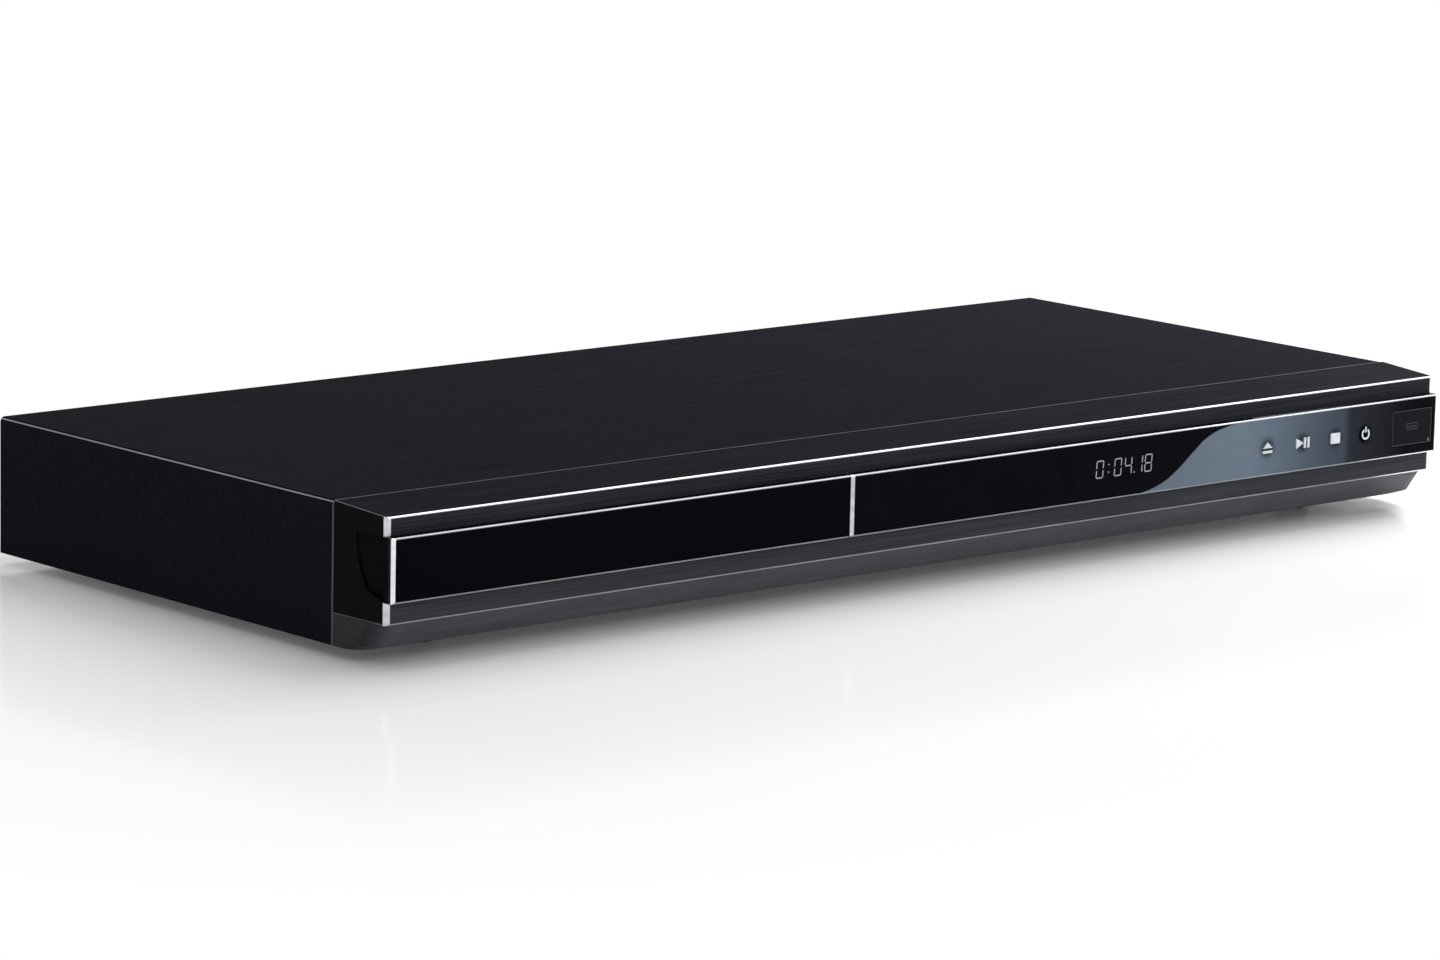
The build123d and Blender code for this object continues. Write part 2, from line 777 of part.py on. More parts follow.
# A cross-head screw whose head rests on z = 0 and whose shank points down
def screw(length):
    head = post(0, 0, (0, head_height), head_radius)
    head = chamfer(head.edges().group_by(Axis.Z)[-1], 0.4)
    shank = post(0, 0, (-length, 0.1), shank_radius)
    cross_z = (head_height - 0.8, head_height + past)
    long, thin = (-1.5, 1.5), (-0.3, 0.3)
    return cut(head + shank, [block(long, thin, cross_z), block(thin, long, cross_z)])


def rear_screw(x, z, length):
    return Plane((x, case_depth, z), x_dir=(1, 0, 0), z_dir=(0, 1, 0)) * screw(length)


# Half angle of a tooth at a radius, from the involute of a circle
def tooth_half_angle(radius, pitch_radius, teeth):
    angle = math.radians(pressure_angle)
    base = pitch_radius * math.cos(angle)
    local = math.acos(min(1.0, base / radius))
    at_pitch = math.pi / (2 * teeth) - tooth_backlash / (2 * pitch_radius)
    return at_pitch + (math.tan(angle) - angle) - (math.tan(local) - local)


# Gear whose first tooth points along the angle tooth_at, in degrees
def gear(module, teeth, x, y, z, tooth_at):
    pitch_radius = module * teeth / 2
    base = pitch_radius * math.cos(math.radians(pressure_angle))
    outer = pitch_radius + 0.8 * module
    root = pitch_radius - 1.1 * module
    start = max(base, root) + 0.001
    radii = [start + (outer - start) * i / 3 for i in range(4)]
    points = []
    for tooth in range(teeth):
        middle = math.radians(tooth_at) + 2 * math.pi * tooth / teeth
        flank = [(r, tooth_half_angle(r, pitch_radius, teeth)) for r in radii]
        flank = [(root, flank[0][1])] + flank
        points += [(r * math.cos(middle - a), r * math.sin(middle - a)) for r, a in flank]
        points += [(r * math.cos(middle + a), r * math.sin(middle + a)) for r, a in reversed(flank)]
    return Pos(x, y, 0) * prism(points, z)


def tray_rack():
    pitch = math.pi * rack_module
    line_x = tray_x - rack_offset
    height = 0.8 * rack_module
    depth = 1.1 * rack_module
    slant = math.tan(math.radians(pressure_angle))
    half = pitch / 4 - tooth_backlash / 2
    first = -math.floor((drive_gear_y - 12.0) / pitch) + 0.5
    count = math.ceil((tray_travel + 2 * 11.0) / pitch)
    points = []
    for tooth in range(count):
        y = drive_gear_y + (first + tooth) * pitch
        points += [(line_x - depth, y - half - depth * slant), (line_x + height, y - half + height * slant)]
        points += [(line_x + height, y + half - height * slant), (line_x - depth, y + half + depth * slant)]
    back = line_x - rack_back
    points += [(back, points[-1][1]), (back, points[0][1])]
    return prism(points, (rack_z, tray_base_z + tray_wall))


# Recess at each corner of the disc well that lets a finger under the disc
def finger_posts(z, radius):
    reach = disc_radius - 1
    posts = []
    for angle in (45, 135, 225, 315):
        turn = math.radians(angle)
        posts.append(post(tray_x + reach * math.cos(turn), disc_y + reach * math.sin(turn), z, radius))
    return posts


def disc_tray():
    half = tray_width / 2
    y = (tray_front_y, tray_back_y)
    body = block(around(tray_x, half), y, (tray_base_z, tray_top_z))
    flange_z = (tray_base_z, tray_base_z + tray_flange_height)
    body = body + block(around(tray_x, tray_flange_half), (y[0] + 6, y[1]), flange_z)
    top = tray_top_z + past
    under = tray_base_z - past
    small_z = well_z - small_well_depth
    body = body - post(tray_x, disc_y, (well_z, top), disc_radius + well_clearance)
    body = body - post(tray_x, disc_y, (small_z, top), small_disc_radius + well_clearance)
    body = cut(body, finger_posts((small_z, top), finger_radius))
    # Hollow underside: shallow under the wells, deep around them
    ring = disc_radius + well_clearance + tray_wall
    pocket_x = around(tray_x, half - tray_wall)
    pocket_y = (y[0] + tray_wall, y[1] - tray_wall)
    low_pocket = block(pocket_x, pocket_y, (under, small_z - tray_wall))
    deep_pocket = block(pocket_x, pocket_y, (tray_base_z, tray_top_z - tray_wall))
    kept_posts = finger_posts((under, top), finger_radius + tray_wall)
    keep = join([post(tray_x, disc_y, (under, top), ring)] + kept_posts)
    body = body - (deep_pocket - keep) - (low_pocket & post(tray_x, disc_y, (0, top), ring - tray_wall))
    slot = block(around(tray_x, tray_slot_width / 2), (disc_y, tray_back_y + past), (under, top))
    slot = slot + post(tray_x, disc_y, (under, top), tray_slot_width / 2)
    rim_x = around(tray_x, tray_slot_width / 2 + tray_wall)
    rim = block(rim_x, (disc_y + ring - 2, tray_back_y), (tray_base_z, tray_top_z))
    return body + rim - slot + tray_rack()


def loader_frame():
    half = loader_half
    y = (loader_front_y, loader_back_y)
    body = block(around(tray_x, half), y, (deck_z, deck_top_z))
    window_half = around(tray_x, traverse_half_width + deck_window_gap)
    through = (deck_z - past, deck_top_z + past)
    body = body - block(window_half, (deck_edge_y, hinge_y - hinge_seat), through)
    ledge_top = tray_base_z - slide_gap
    finger_base = tray_base_z + tray_flange_height + slide_gap
    for side in (-1, 1):
        wall_x = sorted((tray_x + side * loader_inner_half, tray_x + side * half))
        body = body + block(wall_x, y, (deck_z - skirt_depth, loader_top_z))
        rooted = loader_inner_half + 0.5
        ledge_x = sorted((tray_x + side * rooted, tray_x + side * (loader_inner_half - ledge_width)))
        body = body + block(ledge_x, y, (ledge_top - ledge_thickness, ledge_top))
        finger_x = sorted((tray_x + side * rooted, tray_x + side * (tray_width / 2 + 0.5)))
        front_finger = (y[0] + 4, y[0] + 4 + finger_length[0])
        rear_finger = (y[1] - 30 - finger_length[1], y[1] - 30)
        for finger_y in (front_finger, rear_finger):
            body = body + block(finger_x, finger_y, (finger_base, finger_base + 1.6))
        # Bearing for the traverse hinge
        lug_x = sorted(tray_x + side * (traverse_half_width + step) for step in (2.0, 6.0))
        lug = block(lug_x, around(hinge_y, 4), (deck_z, tray_base_z - 0.8))
        bearing_x = (lug_x[0] - past, lug_x[1] + past)
        body = body + lug - rod_x(bearing_x, hinge_y, hinge_z, hinge_radius + pin_clearance)
    body = body + block(around(tray_x, half), (y[1] - loader_wall, y[1]), (deck_z, 30.0))
    body = body + block(around(tray_x, half), (y[0], y[0] + 2), (deck_z - skirt_depth, deck_top_z))
    # Shafts for the two gears, and the motor's hole
    body = body + post(drive_gear_x, drive_gear_y, (deck_z, pinion_top_z), shaft_radius)
    body = body + post(pulley_gear_x, pulley_gear_y, (deck_z, pinion_top_z - 2), shaft_radius)
    body = body - post(motor_x, motor_y, through, motor_shaft_radius + 2)
    # Legs down to the chassis floor
    for x, leg_y in loader_screw_places():
        body = body + post(x, leg_y, (floor_z, deck_z + 0.1), leg_radius)
        body = body - post(x, leg_y, (floor_z - past, deck_top_z + past), shank_radius)
    for x, screw_y in bridge_screw_places():
        body = body - post(x, screw_y, (loader_top_z - 5, loader_top_z + past), bridge_screw_radius)
    return body


def bridge_screw_places():
    x_offset = loader_inner_half + loader_wall / 2
    steps = around(0, bridge_depth / 2 - 5)
    return [(tray_x + side * x_offset, disc_y + step) for side in (-1, 1) for step in steps]


def clamper_bridge():
    z = (loader_top_z, loader_top_z + bridge_thickness)
    through = (z[0] - past, z[1] + past)
    half = bridge_depth / 2
    body = block(around(tray_x, loader_half), around(disc_y, half), z)
    body = body + post(tray_x, disc_y, z, half + 6)
    for side in (-1, 1):
        rib_y = sorted((disc_y + side * half, disc_y + side * (half - bridge_thickness)))
        for x in ((tray_x - loader_half + 8, tray_x - 24), (tray_x + 24, tray_x + loader_half - 8)):
            body = body + block(x, rib_y, (z[0], z[1] + bridge_rib_height))
    body = body - post(tray_x, disc_y, through, bridge_hole_radius)
    return cut(body, [post(x, y, through, bridge_screw_radius) for x, y in bridge_screw_places()])


def loader_screws():
    z = loader_top_z + bridge_thickness
    length = deck_top_z - base_z - 0.4
    screws = [Pos(x, y, deck_top_z) * screw(length) for x, y in loader_screw_places()]
    for x, y in bridge_screw_places():
        shank = post(x, y, (z - 4, z + 0.1), bridge_screw_radius)
        screws.append(post(x, y, (z, z + 1.2), 1.9) + shank)
    return screws


def clamper():
    flange_z = loader_top_z + bridge_thickness + slide_gap
    pad = post(tray_x, disc_y, (clamper_z, clamper_z + 1.8), turntable_radius - 1.5)
    neck = post(tray_x, disc_y, (clamper_z + 1, flange_z + 0.2), bridge_hole_radius - 1)
    flange = post(tray_x, disc_y, (flange_z, flange_z + 1.2), bridge_hole_radius + 2.5)
    flange = chamfer(flange.edges().group_by(Axis.Z)[-1], 0.5)
    body = pad + neck + flange
    cavity = post(tray_x, disc_y, (clamper_z + 2.2, flange_z - 1), 6)
    return body - cavity


def clamper_magnet():
    ring = post(tray_x, disc_y, (clamper_z + 2.2, loader_top_z), 6)
    return ring - post(tray_x, disc_y, (0, top_z), 2.5)


def loader_motor():
    z = (deck_z - motor_height, deck_z)
    can = post(motor_x, motor_y, z, motor_radius)
    can = chamfer(can.edges().group_by(Axis.Z)[0], 0.6)
    boss = post(motor_x, motor_y, (deck_z - 0.1, deck_top_z), motor_shaft_radius + 1.6)
    bore_z = (deck_z - 5, deck_top_z + past)
    return can + boss - post(motor_x, motor_y, bore_z, motor_shaft_radius + pin_clearance)


# A pulley with a groove whose middle is at the belt's height
def pulley(x, y, radius):
    z = (pulley_z, pulley_z + pulley_width)
    groove_z = around((z[0] + z[1]) / 2, belt_width / 2 + 0.15)
    ring = post(x, y, groove_z, radius + 1) - post(x, y, groove_z, radius - pulley_groove)
    return post(x, y, z, radius) - ring


def motor_pulley():
    shaft = post(motor_x, motor_y, (deck_z - 4.5, pulley_z + pulley_width), motor_shaft_radius)
    return pulley(motor_x, motor_y, motor_pulley_radius) + shaft


def drive_belt():
    z = around(pulley_z + pulley_width / 2, belt_width / 2)
    loops = []
    for grow in (0.0, belt_thickness):
        inset = grow + pin_clearance - pulley_groove
        near = Pos(pulley_gear_x, pulley_gear_y) * Circle(pulley_radius + inset)
        far = Pos(motor_x, motor_y) * Circle(motor_pulley_radius + inset)
        loops.append(make_hull(near.edges() + far.edges()))
    return Pos(0, 0, z[0]) * extrude(loops[1] - loops[0], z[1] - z[0])


def pulley_gear():
    z = (big_gear_z, big_gear_z + gear_width)
    tooth_at = gear_line_angle + 180 + 180 / small_gear_teeth
    teeth = gear(gear_module, small_gear_teeth, pulley_gear_x, pulley_gear_y, z, tooth_at)
    hub = post(pulley_gear_x, pulley_gear_y, (pulley_z, z[1]), 3.4)
    body = pulley(pulley_gear_x, pulley_gear_y, pulley_radius) + hub + teeth
    return body - post(pulley_gear_x, pulley_gear_y, (deck_z, top_z), shaft_radius + pin_clearance)


def drive_gear():
    z = (big_gear_z, big_gear_z + gear_width)
    big = gear(gear_module, big_gear_teeth, drive_gear_x, drive_gear_y, z, gear_line_angle)
    small_z = (z[1] - 0.1, pinion_top_z)
    small = gear(rack_module, rack_pinion_teeth, drive_gear_x, drive_gear_y, small_z, 180)
    hub = post(drive_gear_x, drive_gear_y, (pulley_z, z[0] + 0.1), 3)
    bore = post(drive_gear_x, drive_gear_y, (deck_z, top_z), shaft_radius + pin_clearance)
    return big + small + hub - bore


def cam_slider():
    left = tray_x + cam_pin_offsets[0] - 6
    right = tray_x + cam_pin_offsets[1] + cam_travel + 5
    body = block((left, right), (cam_y, cam_y + cam_thickness), cam_z)
    for pin in cam_pin_offsets:
        high = (tray_x + pin, cam_pin_z)
        low = (tray_x + pin + cam_travel, cam_pin_z - cam_drop)
        slot = SlotCenterToCenter(math.dist(high, low), 2 * (cam_pin_radius + cam_pin_gap))
        angle = math.degrees(math.atan2(low[1] - high[1], low[0] - high[0]))
        face = Pos((high[0] + low[0]) / 2, (high[1] + low[1]) / 2) * Rot(0, 0, angle) * slot
        body = body - front_prism(face, (cam_y - past, cam_y + cam_thickness + past))
    return body


def traverse_frame():
    z = (traverse_z, traverse_z + traverse_thickness)
    half = traverse_half_width
    body = block(around(tray_x, half), (traverse_front_y, hinge_y), z)
    through = (z[0] - past, z[1] + past)
    window_y = (pickup_y - 1.5, pickup_y + pickup_length + pickup_travel + 2)
    body = body - block(around(tray_x, 13), window_y, through)
    body = body - post(tray_x, disc_y, through, 4)
    body = body + rod_x(around(tray_x, half + 6), hinge_y, hinge_z, hinge_radius)
    for side in (-1, 1):
        x = sorted((tray_x + side * half, tray_x + side * (half - traverse_thickness)))
        body = body + block(x, (traverse_front_y, hinge_y - 8), (z[0], z[1] + 1.4))
    for pin in cam_pin_offsets:
        tab_y = (traverse_front_y - 1.6, traverse_front_y + 1)
        tab = block(around(tray_x + pin, 3), tab_y, (cam_pin_z - 2.5, z[1]))
        body = body + tab + rod_y(tray_x + pin, (cam_y - 0.1, traverse_front_y), cam_pin_z, cam_pin_radius)
    # Lugs that hold the guide rods and the lead screw
    for offset_x in rod_offsets:
        for lug_y in rod_lug_spans():
            lug = block(around(tray_x + offset_x, 2.8), lug_y, (rod_z - 2.8, z[0] + 0.1))
            bore_y = (lug_y[0] - past, lug_y[1] + past)
            body = body + lug - rod_y(tray_x + offset_x, bore_y, rod_z, rod_radius)
    screw_x = tray_x + screw_offset
    front_y, motor_front_y = screw_lug_y()[0], sled_motor_y()[0]
    front_lug = block(around(screw_x, 2.4), screw_lug_y(), (screw_z - 2.6, z[0] + 0.1))
    body = body + front_lug - rod_y(screw_x, around(front_y, 4), screw_z, 1 + pin_clearance)
    bracket_y = (motor_front_y - 1, motor_front_y)
    bracket = block(around(screw_x, 5), bracket_y, (screw_z - 4.5, z[0] + 0.1))
    return body + bracket - rod_y(screw_x, around(motor_front_y, 3), screw_z, screw_radius + 0.3)


def rod_lug_spans():
    front = pickup_y - 3.2
    back = pickup_y + pickup_length + pickup_travel + 1.4
    return [(front - 3, front), (back, back + 3)]


def screw_lug_y():
    return (pickup_y - 0.5, pickup_y + 2.0)


def sled_motor_y():
    start = pickup_y + 46.0
    return (start, start + sled_motor_length)


def spindle_motor():
    z = (traverse_z - spindle_motor_height, traverse_z)
    can = post(tray_x, disc_y, z, spindle_motor_radius)
    can = chamfer(can.edges().group_by(Axis.Z)[0], 0.8)
    collar = post(tray_x, disc_y, (z[1] - 0.1, z[1] + traverse_thickness), 3.6)
    return can + collar - post(tray_x, disc_y, (z[0] + 1, top_z), motor_shaft_radius + pin_clearance)


def turntable():
    low = turntable_top_z - turntable_thickness
    plate = post(tray_x, disc_y, (low, turntable_top_z), turntable_radius)
    hub = post(tray_x, disc_y, (traverse_z + traverse_thickness + slide_gap, low + 0.1), 5)
    shaft = post(tray_x, disc_y, (traverse_z - spindle_motor_height + 1.5, low), motor_shaft_radius)
    cone = post(tray_x, disc_y, (turntable_top_z - 0.1, cone_top_z), cone_radius)
    cone = chamfer(cone.edges().group_by(Axis.Z)[-1], 0.8)
    return plate + hub + shaft + cone


def turntable_pad_ring():
    z = (turntable_top_z, turntable_top_z + turntable_pad)
    return post(tray_x, disc_y, z, turntable_radius - 0.2) - post(tray_x, disc_y, z, turntable_radius - 4)


def guide_rods():
    y = (rod_lug_spans()[0][0], rod_lug_spans()[1][1])
    return [rod_y(tray_x + offset_x, y, rod_z, rod_radius) for offset_x in rod_offsets]


def pickup_sled():
    y = (pickup_y, pickup_y + pickup_length)
    z = (rod_z - 3.5, traverse_z - 0.5)
    body = block(around(tray_x, 18), y, z)
    tower = block(around(tray_x, 10), (y[0] + 3, y[1] - 3), (z[1] - 0.1, lens_z()))
    body = body + tower
    main_x = tray_x + rod_offsets[0]
    for ear_y in ((y[0], y[0] + 6), (y[1] - 6, y[1])):
        ear = block((main_x - 3, tray_x - 17), ear_y, (rod_z - 3, rod_z + 3))
        body = body + ear
    body = body - rod_y(main_x, (y[0] - past, y[1] + past), rod_z, rod_radius + pin_clearance)
    side_x = tray_x + rod_offsets[1]
    for fork_z in ((rod_z - 3, rod_z - rod_radius - 0.1), (rod_z + rod_radius + 0.1, rod_z + 3)):
        body = body + block((tray_x + 17, side_x + 2), (y[0] + 12, y[0] + 18), fork_z)
    arm_y = (y[0] + 4, y[0] + 9)
    arm_z = rod_z + rod_radius + 0.3
    body = body + block((tray_x + 17, tray_x + screw_offset + 1), arm_y, (arm_z, z[1]))
    tooth_z = screw_z + screw_radius + slide_gap
    return body + block(around(tray_x + screw_offset, 1), arm_y, (tooth_z, arm_z + 0.2))


def lens_z():
    return tray_base_z + 1.6


def objective_lens():
    y = pickup_y + pickup_length / 2
    lens = post(tray_x, y, (lens_z(), lens_z() + 1.0), 3)
    return fillet(lens.edges().group_by(Axis.Z)[-1], 0.7)


def lead_screw():
    x = tray_x + screw_offset
    y = (screw_lug_y()[1] + 0.3, sled_motor_y()[0] + 2)
    body = rod_y(x, y, screw_z, screw_radius)
    body = body + rod_y(x, (screw_lug_y()[0], y[0] + 0.1), screw_z, 1.0)
    thread_start = y[0] + 1.5
    count = math.floor((sled_motor_y()[0] - 2 - thread_start) / screw_pitch)
    for turn in range(count):
        at = thread_start + turn * screw_pitch
        groove = rod_y(x, (at, at + screw_pitch / 3), screw_z, screw_radius + 1)
        body = body - (groove - rod_y(x, (at, at + screw_pitch / 3), screw_z, screw_radius - 0.35))
    return body


def sled_motor():
    x = tray_x + screw_offset
    can = rod_y(x, sled_motor_y(), screw_z, sled_motor_radius)
    can = chamfer(can.edges().group_by(Axis.Y)[-1], 0.5)
    start = sled_motor_y()[0]
    return can - rod_y(x, (start - past, start + 2.5), screw_z, screw_radius + pin_clearance)


def front_board():
    y = (front_board_y, front_board_y + board)
    body = block(front_board_x, y, front_board_z)
    through = (y[0] - past, y[1] + past)
    return cut(body, [rod_y(x, through, z, shank_radius) for x, z in board_boss_places()])


def front_board_screws():
    places = []
    for x, z in board_boss_places():
        seat = Plane((x, front_board_y + board, z), x_dir=(1, 0, 0), z_dir=(0, 1, 0))
        places.append(seat * screw(7.0))
    return places


def display_module():
    y = panel_recess + socket_gap
    glass_x = (display_x[0] + socket_gap, display_x[1] - socket_gap)
    glass_z = (display_z[0] + socket_gap, display_z[1] - socket_gap)
    glass = block(glass_x, (y, y + display_glass), glass_z)
    holder_x = (display_x[0] + display_border, display_x[1] - display_border)
    holder_z = (display_z[0] + display_border, display_z[1] - display_border)
    return glass + block(holder_x, (y + display_glass - 0.1, front_board_y), holder_z)


def ir_receiver():
    x = display_x[1] + receiver_gap
    face_y = front_board_y - 4
    half = receiver_size / 2
    body = block(around(x, half), (face_y, front_board_y), around(button_z, half))
    return body + Pos(x, face_y, button_z) * Sphere(receiver_dome)


def tact_switches():
    switches = []
    half = switch_size / 2
    for x in button_x.values():
        face_y = front_board_y - switch_height
        case = block(around(x, half), (face_y, front_board_y), around(button_z, half))
        knob = rod_y(x, (switch_y, face_y + 0.1), button_z, switch_knob_radius)
        switches.append(case + knob)
    return switches


def usb_socket():
    x = around(usb_x, usb_width / 2)
    z = around(usb_z, usb_height / 2)
    y = (panel_recess - socket_reach, panel_recess + usb_depth)
    shell = 0.4
    hollow_x = (x[0] + shell, x[1] - shell)
    hollow_z = (z[0] + shell, z[1] - shell)
    body = block(x, y, z) - block(hollow_x, (y[0] - past, y[1] - past), hollow_z)
    tongue = block(around(usb_x, 5.6), (y[0] + 1, y[1] - 0.5), (usb_z + 0.1, usb_z + 1.7))
    return body + tongue


def usb_board():
    y = (window_wall_y + socket_gap, fascia_depth + usb_depth)
    return block((usb_x - usb_board_side, usb_x + usb_board_side - 4.4), y, usb_board_z())


def board_with_holes(x, y):
    body = block(x, y, (board_z, board_top_z))
    through = (board_z - past, board_top_z + past)
    places = [(hx, hy) for hx, hy in standoff_places() if x[0] < hx < x[1] and y[0] < hy < y[1]]
    return cut(body, [post(hx, hy, through, shank_radius) for hx, hy in places])


def standoffs():
    pieces = []
    for x, y in standoff_places():
        pillar = post(x, y, (floor_z, board_z), standoff_radius)
        pieces.append(pillar - post(x, y, (floor_z - past, board_z + past), shank_radius))
    return pieces


def board_screws():
    return [Pos(x, y, board_top_z) * screw(board_top_z - base_z - 0.4) for x, y in standoff_places()]


# A block on a board: its left edge, its back edge and its size along X, Y and Z
def on_board(left, back, width, depth, z):
    return block((left, left + width), (back - depth, back), z)


def processor():
    back = main_board_y[1] - processor_rear
    z = (board_top_z, board_top_z + processor_height)
    return on_board(main_board_x[0] + processor_x, back, processor_size, processor_size, z)


def heatsink():
    base = board_top_z + processor_height
    size = processor_size + 2 * heatsink_rim
    left = main_board_x[0] + processor_x - heatsink_rim
    back = main_board_y[1] - processor_rear + heatsink_rim
    body = on_board(left, back, size, size, (base, base + heatsink_base))
    pitch = (size - fin_thickness) / (heatsink_fins - 1)
    fin_z = (base + heatsink_base - 0.1, base + heatsink_base + fin_height)
    return join([body] + [on_board(left + fin * pitch, back, fin_thickness, size, fin_z)
                          for fin in range(heatsink_fins)])


def memory_chips():
    left, back = main_board_x[0], main_board_y[1]
    z = (board_top_z, board_top_z + memory_height)
    chips = [on_board(left + memory_x, back - rear, *memory_size, z) for rear in memory_rears]
    driver_z = (board_top_z, board_top_z + driver_height)
    return chips + [on_board(left + driver_x, back - driver_rear, driver_size, driver_size, driver_z)]


def loader_ribbon():
    edge = main_board_x[0]
    back = main_board_y[1] - ribbon_rear
    bend = edge - ribbon_reach
    thin = ribbon_thickness
    top = board_top_z + ribbon_height
    strip = on_board(bend, back, ribbon_reach + 2, ribbon_width, (top, top + thin))
    plug = on_board(edge + 2, back + 1, ribbon_plug, ribbon_width + 2, (board_top_z, top + 1))
    fall = on_board(bend, back, thin, ribbon_width, (ribbon_low_z, top + thin / 2))
    start = tray_x + loader_half - ribbon_under_loader
    run = on_board(start, back, bend + thin - start, ribbon_width, (ribbon_low_z, ribbon_low_z + thin))
    return strip + plug + fall + run


def transformer():
    left = power_board_x[0] + transformer_x
    back = power_board_y[1] - transformer_rear
    inset_x = (core_size[0] - bobbin_size[0]) / 2
    inset_y = (bobbin_size[1] - core_size[1]) / 2
    core_z = (board_top_z + 3, board_top_z + 3 + core_height)
    core = on_board(left, back - inset_y, *core_size, core_z)
    bobbin_z = (board_top_z, board_top_z + bobbin_height)
    return core + on_board(left + inset_x, back, *bobbin_size, bobbin_z)


def capacitor(x, y, size):
    radius, height = size
    can = post(x, y, (board_top_z, board_top_z + height), radius)
    return chamfer(can.edges().group_by(Axis.Z)[-1], radius / 8)


def mains_capacitor():
    x = power_board_x[0] + main_capacitor_x
    return capacitor(x, power_board_y[1] - main_capacitor_rear, main_capacitor)


def power_parts():
    left, back = power_board_x[0], power_board_y[1]
    row_y = back - small_capacitor_rear
    cans = [capacitor(left + small_capacitor_x + i * small_capacitor_pitch, row_y, small_capacitor)
            for i in range(3)]
    coil_z = (board_top_z, board_top_z + coil_height)
    coil = on_board(left + coil_x, back - coil_rear, coil_size, coil_size, coil_z)
    fuse_y = (back - fuse_rear - fuse_length, back - fuse_rear)
    fuse_z = board_top_z + fuse_radius + 0.4
    fuse = rod_y(left + fuse_x, fuse_y, fuse_z, fuse_radius)
    for y in (fuse_y[0] + 2, fuse_y[1] - 5):
        fuse = fuse + block(around(left + fuse_x, fuse_radius - 0.6), (y, y + 3), (board_top_z, fuse_z))
    fin_z = (board_top_z, board_top_z + cooling_fin_height)
    fin = on_board(left + cooling_fin_x, back - cooling_fin_rear, *cooling_fin, fin_z)
    return cans + [coil, fuse, fin]


def hdmi_socket():
    x = around(hdmi_x, hdmi_width / 2)
    z = (board_top_z, board_top_z + hdmi_height)
    y = (rear_y - hdmi_depth, socket_y)
    hollow_x = (x[0] + hdmi_shell, x[1] - hdmi_shell)
    hollow_z = (z[0] + hdmi_shell, z[1] - hdmi_shell)
    shell = block(x, y, z) - block(hollow_x, (y[0] + 1, y[1] + past), hollow_z)
    return shell + block(around(hdmi_x, 5.4), (y[0] + 0.5, y[1] - 1.5), (z[0] + 2.4, z[0] + 3.5))


def lan_socket():
    z = (board_top_z, board_top_z + lan_height)
    y = (rear_y - lan_depth, socket_y)
    port_y = (y[0] + 3, y[1] + past)
    port_z = (z[0] + 2.0, z[0] + 2.0 + lan_port_height)
    body = block(around(lan_x, lan_width / 2), y, z)
    body = body - block(around(lan_x, lan_port / 2), port_y, port_z)
    return body - block(around(lan_x, lan_latch / 2), port_y, (port_z[1] - 0.1, z[1] - 1.5))


def optical_socket():
    z = (board_top_z, board_top_z + optical_height)
    y = (rear_y - optical_depth, socket_y)
    port_z = (z[0] + optical_wall, z[1] - optical_wall)
    body = block(around(optical_x, optical_width / 2), y, z)
    body = body - block(around(optical_x, optical_port / 2), (y[0] + 3, y[1] + past), port_z)
    pin_x = around(optical_x, optical_port / 2 + 1)
    return body - rod_x(pin_x, rear_y - shutter_inset, port_z[1], flap_pin_radius + pin_clearance)


# Spring flap inside the optical socket, hinged along the top of its mouth
def optical_shutter():
    top = board_top_z + optical_height - optical_wall
    y = rear_y - shutter_inset
    leaf_x = around(optical_x, optical_port / 2 - socket_gap)
    leaf_z = (board_top_z + optical_wall + socket_gap, top - pin_clearance)
    leaf = block(leaf_x, (y + 0.1, y + 0.1 + shutter_leaf), leaf_z)
    return leaf + rod_x(around(optical_x, optical_port / 2 + 0.8), y, top, flap_pin_radius)


def rca_housing():
    x = (rca_x[0] - rca_housing_side, rca_x[-1] + rca_housing_side)
    y = (rear_inner_y - rca_housing_depth, rear_inner_y)
    body = block(x, y, (board_top_z, rca_z + 6))
    holes = [rod_y(at, (y[0] + 3, y[1] + past), rca_z, rca_root_radius) for at in rca_x]
    return cut(body, holes)


# Outer contact of a jack: full radius outside the rear panel, a little less behind it
def rca_jack(x):
    back = rear_inner_y - rca_housing_depth + 3
    barrel = rod_y(x, (back, rear_reach), rca_z, rca_root_radius)
    barrel = barrel + rod_y(x, (rear_y, rear_reach), rca_z, rca_radius)
    return barrel - rod_y(x, (back + 2, rear_reach + past), rca_z, rca_radius - rca_wall)


def rca_insert(x):
    back = rear_inner_y - rca_housing_depth + 5
    core = rod_y(x, (back, rear_reach - 0.8), rca_z, rca_radius - rca_wall)
    return core - rod_y(x, (back + 2, rear_reach + past), rca_z, rca_bore_radius)


def mains_inlet():
    x = around(inlet_x, inlet_width / 2)
    z = around(inlet_z, inlet_height / 2)
    y = (rear_y - inlet_depth, socket_y)
    lobes = Pos(inlet_x, inlet_z) * SlotOverall(inlet_lobe_width, inlet_lobe_height)
    body = block(x, y, z) - front_prism(lobes, (rear_y - inlet_recess, socket_y + past))
    pin_y = (rear_y - inlet_recess - 0.5, rear_y - inlet_pin_inset)
    for side in (-1, 1):
        body = body + rod_y(inlet_x + side * inlet_pin_spacing / 2, pin_y, inlet_z, inlet_pin_radius)
    stem = block((x[0] + 2, x[1] - 2), (y[0], rear_inner_y - 5), (board_top_z, z[0] + 0.1))
    return body + stem


